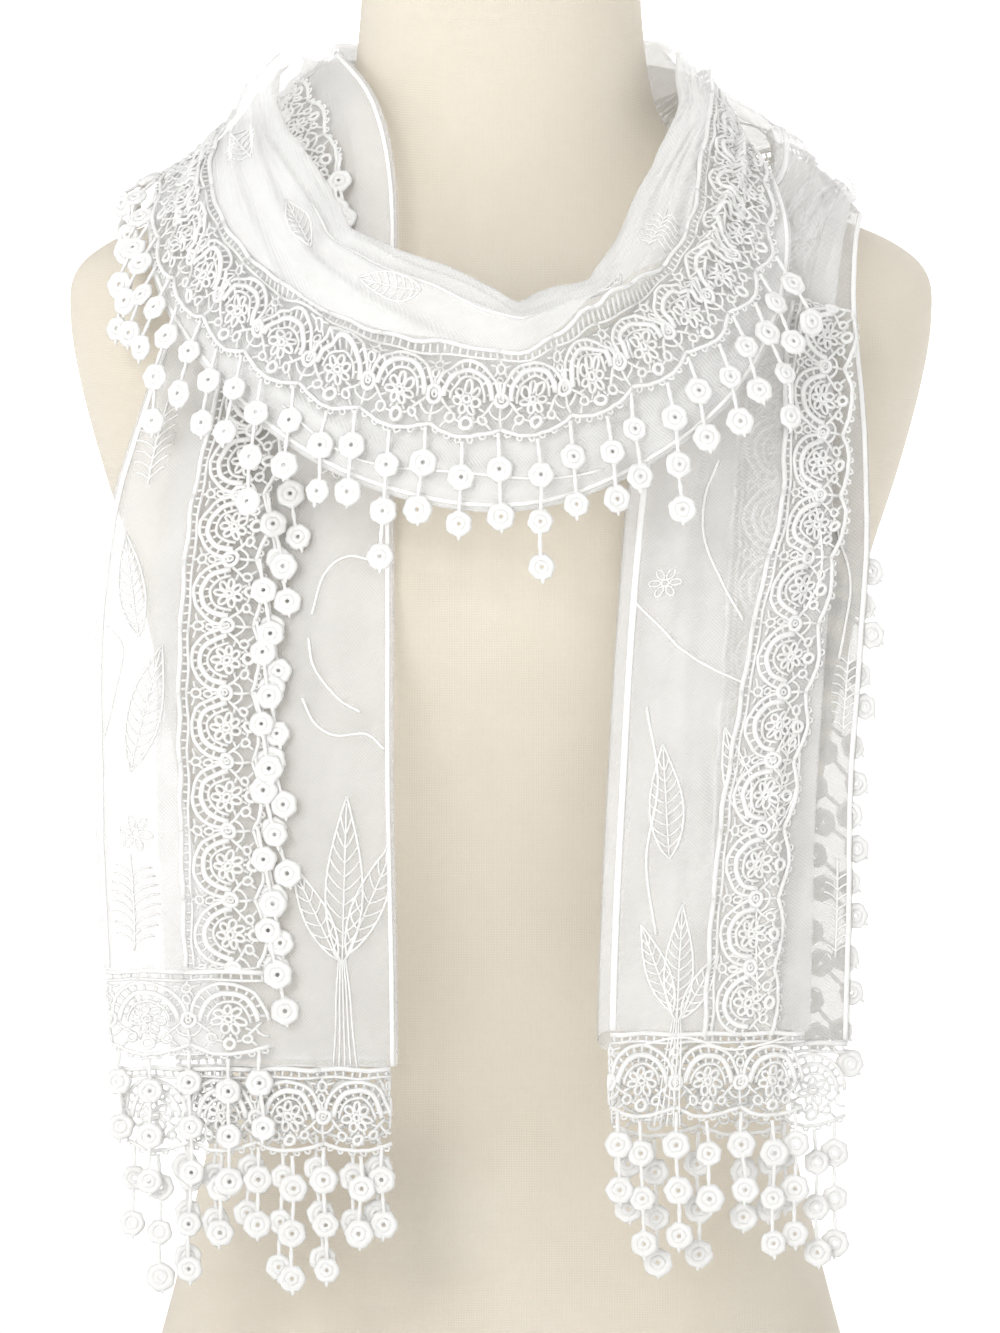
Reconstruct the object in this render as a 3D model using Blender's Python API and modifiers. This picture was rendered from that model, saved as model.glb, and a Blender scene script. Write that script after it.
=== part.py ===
# A sheer lace shawl worn once round the neck of a limbless dress form, both ends hanging in front.
# Metres, +Z up. The form stands on z = 0 and faces -Y; +X is the viewer's right.
# The shawl is one long band. Its base surface is read at l, metres along the band from the left
# end, and w, from 0 at the inner rail to 1 at the outer rail. The net's folded layers, the lace
# and the pendants lie at heights off that surface.

import math

import bpy
import numpy as np
from mathutils import Vector
from mathutils.bvhtree import BVHTree

# Driving sizes
CLOTH_WALL = 0.0011
LACE_WALL = 0.0014
LAYER = 0.0030
SEAM_GAP = 0.0004
LACE_DEPTH = 0.038
LACE_REPEAT = 0.031
STRIP_DEPTH = 0.0022
RING_ACROSS = 0.0110
RING_PITCH = 0.0200
THREAD = 0.0018
FORM_ROUND = 32
FORM_LEVELS = 22
ROW_STEP = 0.010
BASE_COLUMNS = 9
OVER_LAYERS = 0.0032
PENDANT_LIFT = 0.0030

# Colours from the photograph: off-white cotton net and lace, cream linen
NET_COLOUR = (0.93, 0.92, 0.90, 1.0)
LACE_COLOUR = (0.95, 0.94, 0.91, 1.0)
LINEN_COLOUR = (0.84, 0.78, 0.66, 1.0)

# The form's level sections: height, half width, how far its front and its back reach, squareness
FORM_SECTIONS = (
    (0.000, 0.170, 0.098, 0.112, 2.30),
    (0.060, 0.162, 0.096, 0.105, 2.30),
    (0.120, 0.147, 0.090, 0.092, 2.30),
    (0.200, 0.130, 0.084, 0.078, 2.25),
    (0.260, 0.133, 0.090, 0.078, 2.25),
    (0.330, 0.147, 0.107, 0.084, 2.25),
    (0.400, 0.161, 0.122, 0.092, 2.30),
    (0.440, 0.170, 0.119, 0.096, 2.35),
    (0.480, 0.183, 0.108, 0.098, 2.40),
    (0.520, 0.194, 0.094, 0.098, 2.30),
    (0.550, 0.199, 0.083, 0.094, 2.10),
    (0.572, 0.197, 0.075, 0.088, 1.85),
    (0.587, 0.180, 0.068, 0.082, 1.65),
    (0.600, 0.148, 0.0640, 0.077, 1.60),
    (0.612, 0.116, 0.0610, 0.073, 1.65),
    (0.626, 0.090, 0.0590, 0.070, 1.80),
    (0.642, 0.0745, 0.0580, 0.0675, 1.95),
    (0.664, 0.0680, 0.0575, 0.0655, 2.00),
    (0.692, 0.0650, 0.0570, 0.064, 2.00),
    (0.712, 0.0640, 0.0560, 0.063, 2.00),
    (0.7185, 0.0605, 0.0525, 0.0595, 2.00),
    (0.7205, 0.0530, 0.0450, 0.0520, 2.00),
)

# The stretches in order: up the left side, round the neck twice, down the right side
ROUTE = ("left_tail", "nape_inner", "cowl", "nape_outer", "right_tail")

# Each stretch's stations: the inner rail (x, y, z), the outer rail (x, y, z), how far the middle
# stands out, and how far the base stays off the form. A stretch begins where the last one ends
STATIONS = {
    "left_tail": (
        (-0.0465, -0.137, 0.158, -0.1650, -0.122, 0.158, 0.006, 0.0010),
        (-0.0475, -0.137, 0.256, -0.1745, -0.120, 0.256, 0.006, 0.0010),
        (-0.0490, -0.136, 0.340, -0.1780, -0.113, 0.340, 0.006, 0.0010),
        (-0.0490, -0.124, 0.410, -0.1785, -0.098, 0.410, 0.006, 0.0010),
        (-0.0490, -0.116, 0.470, -0.1700, -0.085, 0.470, 0.004, 0.0010),
        (-0.0485, -0.108, 0.520, -0.1540, -0.080, 0.520, 0.003, 0.0010),
        (-0.0480, -0.088, 0.562, -0.1400, -0.066, 0.560, 0.003, 0.0010),
        (-0.0480, -0.066, 0.606, -0.1300, -0.044, 0.592, 0.003, 0.0010),
        (-0.0540, -0.050, 0.646, -0.1260, -0.010, 0.603, 0.003, 0.0010),
        (-0.0740, -0.002, 0.672, -0.1220, 0.032, 0.620, 0.003, 0.0010),
    ),
    "nape_inner": (
        (-0.0740, -0.002, 0.672, -0.1220, 0.032, 0.620, 0.003, 0.0010),
        (-0.0690, 0.042, 0.678, -0.1040, 0.080, 0.610, 0.003, 0.0010),
        (-0.0400, 0.072, 0.681, -0.0580, 0.110, 0.602, 0.003, 0.0010),
        (0.0000, 0.082, 0.682, 0.0000, 0.118, 0.600, 0.003, 0.0010),
        (0.0400, 0.072, 0.682, 0.0580, 0.108, 0.604, 0.003, 0.0010),
        (0.0690, 0.044, 0.680, 0.0940, 0.076, 0.618, 0.003, 0.0010),
        (0.0770, 0.012, 0.672, 0.1040, 0.032, 0.636, 0.003, 0.0035),
    ),
    "cowl": (
        (0.0770, 0.012, 0.672, 0.1040, 0.032, 0.636, 0.003, 0.0035),
        (0.0760, -0.014, 0.654, 0.1080, 0.002, 0.625, 0.004, 0.0060),
        (0.0725, -0.034, 0.636, 0.1160, -0.026, 0.610, 0.005, 0.0120),
        (0.0680, -0.054, 0.614, 0.1260, -0.058, 0.588, 0.006, 0.0140),
        (0.0600, -0.086, 0.577, 0.1220, -0.104, 0.546, 0.008, 0.0140),
        (0.0420, -0.112, 0.551, 0.0940, -0.138, 0.500, 0.010, 0.0140),
        (0.0086, -0.124, 0.544, 0.0200, -0.158, 0.460, 0.012, 0.0140),
        (-0.0300, -0.118, 0.557, -0.0540, -0.154, 0.468, 0.012, 0.0140),
        (-0.0640, -0.098, 0.574, -0.1080, -0.132, 0.500, 0.010, 0.0140),
        (-0.0850, -0.064, 0.602, -0.1460, -0.092, 0.545, 0.008, 0.0140),
        (-0.0920, -0.026, 0.630, -0.1580, -0.044, 0.585, 0.006, 0.0140),
        (-0.0860, 0.022, 0.656, -0.1420, 0.018, 0.616, 0.004, 0.0140),
    ),
    "nape_outer": (
        (-0.0860, 0.022, 0.656, -0.1420, 0.018, 0.616, 0.004, 0.0140),
        (-0.0760, 0.064, 0.668, -0.1280, 0.088, 0.596, 0.004, 0.0140),
        (-0.0440, 0.098, 0.674, -0.0760, 0.140, 0.578, 0.004, 0.0140),
        (0.0000, 0.110, 0.675, 0.0000, 0.152, 0.573, 0.004, 0.0140),
        (0.0440, 0.100, 0.674, 0.0760, 0.140, 0.576, 0.004, 0.0140),
        (0.0820, 0.078, 0.666, 0.1220, 0.108, 0.590, 0.004, 0.0140),
        (0.1080, 0.062, 0.650, 0.1480, 0.080, 0.598, 0.004, 0.0110),
        (0.1270, 0.036, 0.634, 0.1640, 0.046, 0.602, 0.003, 0.0040),
    ),
    "right_tail": (
        (0.1270, 0.036, 0.634, 0.1640, 0.046, 0.602, 0.003, 0.0040),
        (0.1270, -0.004, 0.610, 0.1640, 0.004, 0.591, 0.003, 0.0010),
        (0.1150, -0.050, 0.592, 0.1600, -0.044, 0.580, 0.003, 0.0010),
        (0.0920, -0.082, 0.560, 0.1590, -0.064, 0.550, 0.003, 0.0010),
        (0.0690, -0.106, 0.520, 0.1625, -0.080, 0.510, 0.003, 0.0010),
        (0.0600, -0.116, 0.470, 0.1645, -0.087, 0.465, 0.004, 0.0010),
        (0.0560, -0.124, 0.410, 0.1620, -0.104, 0.410, 0.006, 0.0010),
        (0.0515, -0.136, 0.340, 0.1560, -0.114, 0.340, 0.006, 0.0010),
        (0.0480, -0.137, 0.256, 0.1545, -0.121, 0.256, 0.006, 0.0010),
        (0.0465, -0.137, 0.150, 0.1510, -0.122, 0.150, 0.006, 0.0010),
    ),
}

# Where the folded-over layer's lace ends across a stretch, as w at evenly spaced s, and the side
# that it points to: 1 towards the outer rail
LACE_EDGES = {
    "left_tail": (-1, (0.425, 0.425, 0.425, 0.425, 0.410, 0.340, 0.260, 0.260)),
    "cowl": (1, (0.92, 0.92, 0.86, 0.71, 0.71, 0.78, 0.90, 0.96, 0.96)),
    "nape_outer": (1, (0.98, 0.93, 0.92, 0.92, 0.93, 0.98)),
    "right_tail": (1, (0.90, 0.80, 0.75, 0.75, 0.75, 0.75)),
}

# How each stretch is folded lengthwise, as its layers in order across the cut cloth: from w, to w,
# level off the base, faces across, and how far the cloth's end is drawn up there. HEADING is the
# line where the folded-over layer's net ends and its lace begins
HEADING = None
FOLDS = {
    "left_tail": (
        (HEADING, 1.00, 2, 3, 0.098),
        (1.00, 0.00, 1, 5, 0.055),
        (0.00, 0.80, 0, 2, 0.060),
    ),
    "nape_inner": (
        (0.80, 0.00, 1, 3, 0.0),
        (0.00, 0.85, 0, 2, 0.0),
    ),
    "cowl": (
        (HEADING, 0.00, 2, 5, 0.0),
        (0.00, 1.00, 1, 4, 0.0),
        (1.00, 0.25, 0, 2, 0.0),
    ),
    "nape_outer": (
        (HEADING, 0.00, 1, 4, 0.0),
        (0.00, 0.96, 0, 3, 0.0),
    ),
    "right_tail": (
        (HEADING, 0.00, 0, 2, 0.070),
        (0.00, 0.80, 3, 5, 0.079),
        (0.80, 0.68, 2, 1, 0.079),
        (0.68, 1.00, 1, 2, 0.074),
    ),
}
# How much further apart the layers lie at the inner rail, where the fold is a soft roll
PUFF = {"left_tail": 0.0, "nape_inner": 0.0010, "cowl": 0.0035, "nape_outer": 0.0030, "right_tail": 0.0}
# How many faces the stretch without lace has along it
PLAIN_FACES = 9
# Between which repeats of its lace a stretch bends sharply, and has a row at each half repeat too
SHARP_BENDS = {
    "left_tail": ((11, 99),),
    "cowl": ((0, 5), (17, 99)),
    "nape_outer": ((0, 2), (11, 99)),
    "right_tail": ((0, 7),),
}
# The layers that a stretch passes over
PASSES_OVER = {"cowl": ("left_tail", "right_tail"), "nape_outer": ("left_tail", "nape_inner")}

# Soft creases that run along a stretch: w at its start, w at its end, rise, width across
CREASES = {
    "left_tail": ((0.14, 0.10, 0.0016, 0.09), (0.88, 0.80, 0.0014, 0.07)),
    "nape_inner": ((0.40, 0.45, 0.0012, 0.14),),
    "cowl": ((0.26, 0.12, 0.0030, 0.07), (0.10, 0.30, 0.0026, 0.08)),
    "nape_outer": ((0.16, 0.24, 0.0030, 0.08),),
    "right_tail": ((0.42, 0.30, 0.0016, 0.10), (0.66, 0.62, 0.0014, 0.07)),
}


def catmull_rom(rows, at, paired=False):
    """Rows of numbers read smoothly at each number in at; whole numbers fall on the rows.

    If paired, each number in at has rows of its own."""
    rows, at = np.asarray(rows, float), np.asarray(at, float)
    if paired:
        each = np.arange(len(at))
        last = rows.shape[1] - 1
        spare = (1,) * (rows.ndim - 2)
    else:
        last = len(rows) - 1
        spare = (1,) * (rows.ndim - 1)

    def row(index):
        return rows[each, index] if paired else rows[index]

    inside = np.clip(at, 0.0, last)
    first = np.minimum(inside.astype(int), last - 1)
    t = (inside - first).reshape(-1, *spare)
    here, there = row(first), row(first + 1)
    has_before = (first > 0).reshape(t.shape)
    has_after = (first + 2 <= last).reshape(t.shape)
    before = np.where(has_before, row(np.maximum(first - 1, 0)), 2 * here - there)
    after = np.where(has_after, row(np.minimum(first + 2, last)), 2 * there - here)
    slope_here, slope_there = (there - before) / 2, (after - here) / 2
    value = (
        (2 * t**3 - 3 * t**2 + 1) * here
        + (t**3 - 2 * t**2 + t) * slope_here
        + (3 * t**2 - 2 * t**3) * there
        + (t**3 - t**2) * slope_there
    )
    past = (at - inside).reshape(t.shape)
    return value + past * np.where(past < 0, slope_here, slope_there)


def form_ring(section, count):
    """The points round the form at one section: height, half width, front, back, squareness."""
    height, half_width, front, back, squareness = section
    ring = []
    for k in range(count):
        angle = math.tau * k / count
        c, s = math.cos(angle), math.sin(angle)
        reach = back if s > 0 else front
        x = half_width * math.copysign(abs(c) ** (2 / squareness), c)
        y = reach * math.copysign(abs(s) ** (2 / squareness), s)
        ring.append((x, y, height))
    return ring


def form_shape(levels, count):
    """Points and faces of the whole form, closed with a flat base and a flat top."""
    last = len(FORM_SECTIONS) - 1
    sections = catmull_rom(FORM_SECTIONS, np.linspace(0, last, levels))
    points = [p for section in sections for p in form_ring(section, count)]
    faces = []
    for level in range(levels - 1):
        for k in range(count):
            here, beside = level * count + k, level * count + (k + 1) % count
            faces.append((here, beside, beside + count, here + count))
    faces.append(tuple(reversed(range(count))))
    faces.append(tuple((levels - 1) * count + k for k in range(count)))
    return points, faces


def unit(vectors):
    return vectors / np.maximum(np.linalg.norm(vectors, axis=-1, keepdims=True), 1e-9)


def pushed_clear(grid, lifts, tree):
    """The grid's points, each moved out of the form until it is its own lift away from it."""
    for i in range(grid.shape[0]):
        for j in range(grid.shape[1]):
            point = Vector(grid[i, j])
            near, normal, _, _ = tree.find_nearest(point)
            if (point - near).dot(normal) < lifts[i]:
                grid[i, j] = near + normal * lifts[i]
    return grid


def outward(grid):
    """The way the cloth faces at each point of a grid."""
    return unit(np.cross(np.gradient(grid, axis=0), np.gradient(grid, axis=1)))


def rail_rows():
    """The whole route's stations as evenly spaced rows, their spacing and each stretch's bounds."""
    stations, ends = [], [0]
    for name in ROUTE:
        stations.extend(STATIONS[name] if not stations else STATIONS[name][1:])
        ends.append(len(stations) - 1)
    per = 12
    fine = catmull_rom(stations, np.arange(per * (len(stations) - 1) + 1) / per)
    middle = (fine[:, 0:3] + fine[:, 3:6]) / 2
    travelled = np.concatenate(([0.0], np.cumsum(np.linalg.norm(np.diff(middle, axis=0), axis=1))))
    bounds = {name: (travelled[per * ends[k]], travelled[per * ends[k + 1]]) for k, name in enumerate(ROUTE)}
    count = round(travelled[-1] / ROW_STEP) + 1
    even = np.interp(np.linspace(0.0, travelled[-1], count), travelled, np.arange(len(fine)))
    return catmull_rom(fine, even), travelled[-1] / (count - 1), bounds


def make_base(tree):
    """The base surface of the whole shawl."""
    rows, pitch, bounds = rail_rows()
    inner, outer, crown, lift = rows[:, None, 0:3], rows[:, None, 3:6], rows[:, 6], rows[:, 7]
    w = np.linspace(0, 1, BASE_COLUMNS)[None, :, None]
    grid = inner + (outer - inner) * w
    grid = grid + outward(grid) * (crown[:, None, None] * 4 * w * (1 - w))
    for _ in range(4):
        grid = pushed_clear(grid, lift, tree)
        grid[1:-1] = (grid[:-2] + 2 * grid[1:-1] + grid[2:]) / 4
    grid = pushed_clear(grid, lift, tree)
    base = {"grid": grid, "pitch": pitch, "bounds": bounds, "tree": tree}
    base["sheets"] = {name: top_sheet(base, name) for name in ("left_tail", "nape_inner", "right_tail")}
    for _ in range(2):
        base["grid"] = base["grid"] + outward(base["grid"]) * overlay(base)[:, :, None]
    return base


def top_sheet(base, name):
    """The upper side of a stretch's top layer."""
    start, end = base["bounds"][name]
    level = max(run[2] for run in FOLDS[name])
    lengths = np.arange(start, end, 0.008)
    across = np.linspace(-0.06, 1.06, 15)
    points = [
        on_base(base, [l], [w], [height_at(base, name, level, l, w)])[0] for l in lengths for w in across
    ]
    count = len(across)
    faces = [
        (k * count + j, k * count + j + 1, (k + 1) * count + j + 1, (k + 1) * count + j)
        for k in range(len(lengths) - 1)
        for j in range(count - 1)
    ]
    return BVHTree.FromPolygons([tuple(p) for p in points], faces)


def short_of_layers(base, point, out, names):
    """How far a point must move out to pass over the named stretches; 0 if they aren't below it."""
    reach, move = 0.05, 0.0
    for name in names:
        origin = Vector(point + out * reach)
        place, _, _, distance = base["sheets"][name].ray_cast(origin, Vector(-out), 2 * reach)
        if place is not None:
            move = max(move, reach - distance + OVER_LAYERS)
    return move


def overlay(base):
    """How far each base point moves out so that it passes over the layers below it."""
    grid, out = base["grid"], outward(base["grid"])
    move = np.zeros(grid.shape[:2])
    for name, below in PASSES_OVER.items():
        start, end = base["bounds"][name]
        for i in range(round(start / base["pitch"]), round(end / base["pitch"]) + 1):
            for j in range(grid.shape[1]):
                move[i, j] = short_of_layers(base, grid[i, j], out[i, j], below)
    soft = move
    for _ in range(14):
        soft = np.pad(soft, 1, mode="edge")
        soft = (soft[:-2, 1:-1] + soft[2:, 1:-1] + soft[1:-1, :-2] + soft[1:-1, 2:] + 2 * soft[1:-1, 1:-1]) / 6
        soft = np.maximum(soft, move)
    return soft


def read_base(base, l, w):
    """The base surface at each pair of l and w."""
    l, w = np.asarray(l, float), np.asarray(w, float)
    rows = catmull_rom(base["grid"], l / base["pitch"])
    return catmull_rom(rows, w * (BASE_COLUMNS - 1), paired=True)


def slopes(base, l, w):
    """How the base surface runs at l and w: per metre along, and per whole width across."""
    along = (read_base(base, l + 0.012, w) - read_base(base, l - 0.012, w)) / 0.024
    across = (read_base(base, l, w + 0.08) - read_base(base, l, w - 0.08)) / 0.16
    return along, across


def on_base(base, l, w, height):
    """Points at l and w, height metres off the base surface."""
    l, w, height = (np.asarray(v, float) for v in (l, w, height))
    along, across = slopes(base, l, w)
    return read_base(base, l, w) + unit(np.cross(along, across)) * height[:, None]


def share_of(base, name, l):
    """How far along its stretch l lies, from 0 to 1."""
    start, end = base["bounds"][name]
    return (l - start) / (end - start)


def height_at(base, name, level, l, w):
    """How far off the base a layer lies, with the soft roll at the inner rail and the creases."""
    top = max(run[2] for run in FOLDS[name])
    share = share_of(base, name, l)
    height = level * (LAYER + PUFF[name] * max(0.0, 1.0 - w) ** 2)
    for start, end, rise, width in CREASES[name]:
        middle = start + (end - start) * share
        height += (level / top) ** 2 * rise * math.exp(-(((w - middle) / width) ** 2))
    return height


def width_at(base, l):
    """The straight distance between the rails at l."""
    inner, outer = read_base(base, [l, l], [0.0, 1.0])
    return np.linalg.norm(outer - inner)


def edge_at(base, name, l):
    """The w of the lace's outer edge at l."""
    _, table = LACE_EDGES[name]
    return catmull_rom(np.array(table)[:, None], [share_of(base, name, l) * (len(table) - 1)])[0, 0]


def lace_share(base, l):
    """The lace's depth as a share of the stretch's width at l; less where the cloth is gathered."""
    return min(LACE_DEPTH / width_at(base, l), 0.6)


def heading_at(base, name, l):
    """The w at l of the line where the net ends and the lace begins."""
    toward, _ = LACE_EDGES[name]
    return edge_at(base, name, l) - toward * lace_share(base, l)


def stretch_ends(base, name, hem):
    """Where a layer of a stretch begins and ends along the band, clear of the seams."""
    start, end = base["bounds"][name]
    if name == ROUTE[0]:
        return start + hem, end - SEAM_GAP / 2
    if name == ROUTE[-1]:
        return start + SEAM_GAP / 2, end - hem
    return start + SEAM_GAP / 2, end - SEAM_GAP / 2


def lace_rows(base, name):
    """The values of l between which the repeats of a stretch's lace lie, even along its edge."""
    start, end = stretch_ends(base, name, FOLDS[name][0][4])
    stops = np.linspace(start, end, 81)
    edge = read_base(base, stops, [edge_at(base, name, l) for l in stops])
    travelled = np.concatenate(([0.0], np.cumsum(np.linalg.norm(np.diff(edge, axis=0), axis=1))))
    repeats = round(travelled[-1] / LACE_REPEAT)
    return np.interp(np.linspace(0.0, travelled[-1], repeats + 1), travelled, stops)


def stretch_rows(base, name):
    """The values of l at which a stretch has rows of points, in step with its lace."""
    if name not in LACE_EDGES:
        start, end = stretch_ends(base, name, 0.0)
        return np.linspace(start, end, PLAIN_FACES + 1)
    rows = lace_rows(base, name)
    halves = [
        (rows[k] + rows[k + 1]) / 2
        for k in range(len(rows) - 1)
        if any(low <= k < high for low, high in SHARP_BENDS.get(name, ()))
    ]
    return np.sort(np.concatenate((rows, halves)))


def drawn_up(base, name, l, hem):
    """Where a row falls in a layer whose end is drawn up by hem; l is right for the first layer."""
    start, end = stretch_ends(base, name, hem)
    first_start, first_end = stretch_ends(base, name, FOLDS[name][0][4])
    return start + (l - first_start) * (end - start) / (first_end - first_start)


def folded_line(base, name, row):
    """Points across the folded cloth at one row, as l, w and height off the base."""
    line = []
    runs = FOLDS[name]
    for index, (start, end, level, pieces, hem) in enumerate(runs):
        l = drawn_up(base, name, row, hem)
        if start is HEADING:
            start = heading_at(base, name, l)
        for k in range(pieces + 1):
            w = start + (end - start) * k / pieces
            line.append((l, w, height_at(base, name, level, l, w)))
        if index + 1 < len(runs):
            next_level, next_hem = runs[index + 1][2], runs[index + 1][4]
            low, high = height_at(base, name, level, l, end), height_at(base, name, next_level, l, end)
            bulge = abs(high - low) / 2 * math.copysign(1, end - start) / width_at(base, l)
            turns = (-0.5, 0.5) if PUFF[name] and end == 0 or hem != next_hem else (0.0,)
            for turn in turns:
                height = (low + high) / 2 + math.sin(turn * math.pi / 2) * (high - low) / 2
                reach = end + bulge * math.cos(turn * math.pi / 2)
                between = drawn_up(base, name, row, hem + (next_hem - hem) * (turn + 1) / 2)
                line.append((between, reach, height))
    return line


def made_wall(name, points, faces, wall, material, collection):
    """A mesh sheet given its wall with Solidify, half to each side."""
    mesh = bpy.data.meshes.new(name)
    mesh.from_pydata([tuple(p) for p in points], [], faces)
    mesh.materials.append(material)
    mesh.shade_smooth()
    sheet = bpy.data.objects.new(name, mesh)
    collection.objects.link(sheet)
    thick = sheet.modifiers.new("wall", "SOLIDIFY")
    thick.thickness = wall
    thick.offset = 0.0
    thick.use_even_offset = False
    return sheet


def make_cloth(base, name, material, collection):
    """One stretch of the net: its folded line carried along the base surface."""
    points = []
    rows = stretch_rows(base, name)
    for row in rows:
        line = folded_line(base, name, row)
        points.extend(on_base(base, *zip(*line)))
    across = len(line)
    faces = [
        (k * across + j, k * across + j + 1, (k + 1) * across + j + 1, (k + 1) * across + j)
        for k in range(len(rows) - 1)
        for j in range(across - 1)
    ]
    return made_wall(name, points, faces, CLOTH_WALL, material, collection)


# One repeat of the lace: u along it, v from the heading to the edge. One gap lies in the fan's
# arc and a larger one below it; the faces leave them open
LACE_POINTS = (
    (0.00, 0.00),
    (0.00, 0.47),
    (0.00, 0.88),
    (0.50, 1.00),
    (0.50, 0.00),
    (0.30, 0.14),
    (0.70, 0.14),
    (0.76, 0.33),
    (0.24, 0.33),
    (0.24, 0.60),
    (0.76, 0.60),
    (0.78, 0.80),
    (0.50, 0.87),
    (0.22, 0.80),
)
NEXT = 100  # a corner that belongs to the next repeat is its own number plus this
LACE_FACES = (
    (0, 4, 0 + NEXT, 6, 5),
    (0 + NEXT, 1 + NEXT, 7, 6),
    (1 + NEXT, 1, 8, 7),
    (1, 0, 5, 8),
    (1, 1 + NEXT, 10, 9),
    (1 + NEXT, 2 + NEXT, 11, 10),
    (2 + NEXT, 3, 12, 11),
    (3, 2, 13, 12),
    (2, 1, 9, 13),
)


def lace_sheet(place, repeats):
    """Points and faces of a lace band. place(u, v) gives the point u repeats along and v across."""
    per = len(LACE_POINTS)
    points = [place(k + u, v) for k in range(repeats) for u, v in LACE_POINTS]
    closing = {}
    for corner in (0, 1, 2):
        closing[corner] = len(points)
        points.append(place(repeats, LACE_POINTS[corner][1]))
    faces = []
    for k in range(repeats):
        for face in LACE_FACES:
            corners = []
            for c in face:
                if c < NEXT:
                    corners.append(k * per + c)
                elif k + 1 < repeats:
                    corners.append((k + 1) * per + c - NEXT)
                else:
                    corners.append(closing[c - NEXT])
            faces.append(tuple(corners))
    return points, faces


def pendant_outline(rings):
    """A pendant's outline below the strip: distance along it, half width."""
    half_thread, half_ring = THREAD / 2, RING_ACROSS / 2
    outline = []
    for k in range(rings):
        start = RING_PITCH * (k + 1) - RING_ACROSS
        outline.append((start, half_thread))
        outline.append((start + 0.25 * RING_ACROSS, half_ring))
        outline.append((start + 0.75 * RING_ACROSS, half_ring))
        outline.append((start + RING_ACROSS, half_thread))
    return outline


def hanging_line(base, name, l, w, level, droop, hangs_free, rings):
    """Where a pendant's thread lies, from its root down: points, the way on, the way it faces.

    It follows the layer below until the bottom fold, then hangs straight if hangs_free."""
    toward, _ = LACE_EDGES[name]
    step = RING_PITCH / 2
    above = 0.0006
    free = False
    line = []
    point = on_base(base, [l], [w], [height_at(base, name, level, l, w) + above])[0]
    down = np.array((0.0, 0.0, -1.0))
    for _ in range(2 * rings + 1):
        along, across = (v[0] for v in slopes(base, np.array([l]), np.array([w])))
        out = unit(np.cross(along, across))
        if free:
            way = unit(down + 0.12 * out)
        else:
            way = unit((1 - droop) * toward * unit(across) + droop * unit(down - out * (down @ out)))
        line.append((point, way, out))
        if free or (hangs_free and w > 1.06):
            free = True
            point = point + way * step
            point = point + out * short_of_layers(base, point, out, PASSES_OVER[name])
        else:
            moves, *_ = np.linalg.lstsq(np.stack((along, across), axis=1), way * step, rcond=None)
            l, w = l + moves[0], w + moves[1]
            point = on_base(base, [l], [w], [height_at(base, name, level, l, w) + above])[0]
        near, normal, _, _ = base["tree"].find_nearest(Vector(point))
        if (Vector(point) - near).dot(normal) < PENDANT_LIFT:
            point = np.array(near + normal * PENDANT_LIFT)
    return line


def fringe_sheet(place, line_at, repeats, rings, bare):
    """Points and faces of the strip past the lace's tips, with a pendant at each tip not bare."""
    points, faces = [], []
    half = THREAD / 2 / LACE_REPEAT
    inner_v = 1.0 + (SEAM_GAP + 0.0003) / LACE_DEPTH
    outer_v = inner_v + STRIP_DEPTH / LACE_DEPTH
    hung = [k for k in range(repeats) if k not in bare]
    tips = range(hung[0], hung[-1] + 1)
    for k in tips:
        for u in (k + 0.5 - half, k + 0.5 + half):
            points.append(place(u, inner_v))
            points.append(place(u, outer_v))
    for k in range(2 * len(tips) - 1):
        faces.append((2 * k, 2 * k + 2, 2 * k + 3, 2 * k + 1))
    for k in hung:
        count = rings[k % len(rings)]
        left, right = 4 * (k - hung[0]) + 1, 4 * (k - hung[0]) + 3
        line = line_at(k + 0.5, count)
        root = (points[left] + points[right]) / 2
        shift = root - line[0][0]
        for distance, half_width in pendant_outline(count):
            place_on = distance / (RING_PITCH / 2)
            index = min(int(place_on), len(line) - 2)
            part = place_on - index
            middle = line[index][0] * (1 - part) + line[index + 1][0] * part + shift
            way, out = line[index][1], line[index][2]
            side = unit(np.cross(way, out))
            if side @ (points[right] - points[left]) < 0:
                side = -side
            points.append(middle - side * half_width)
            points.append(middle + side * half_width)
            faces.append((left, right, len(points) - 1, len(points) - 2))
            left, right = len(points) - 2, len(points) - 1
    return points, faces


# The lace along the long edge: name, stretch, level, at which repeat it comes out from under the
# cloth, how much its pendants turn towards the floor, whether they hang free past the bottom
# fold, rings on each in turn, and the tips without a pendant, where the cloth leaves no room
EDGE_LACES = (
    ("left_edge", "left_tail", 2, 0, 0.55, False, (2,), (8, 9, 10, 13, 14, 15, 16)),
    ("cowl_edge", "cowl", 2, 0, 0.70, True, (2, 3), (0, 1, 2, 3)),
    ("nape_edge", "nape_outer", 1, 0, 0.60, True, (2,), (12, 13)),
    ("right_edge", "right_tail", 0, 4, 0.45, False, (2,), (0, 1, 2)),
)
# The lace across the two ends: name, stretch, from w, to w, level, hem, rings
END_LACES = (
    ("left_end_front", "left_tail", 0.995, 0.428, 2, 0.098, (3,)),
    ("left_end_back", "left_tail", 0.985, 0.015, 1, 0.055, (3, 2)),
    ("right_end_front", "right_tail", 0.010, 0.790, 3, 0.079, (3, 2)),
    ("right_end_side", "right_tail", 0.700, 0.990, 1, 0.074, (3,)),
)


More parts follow.
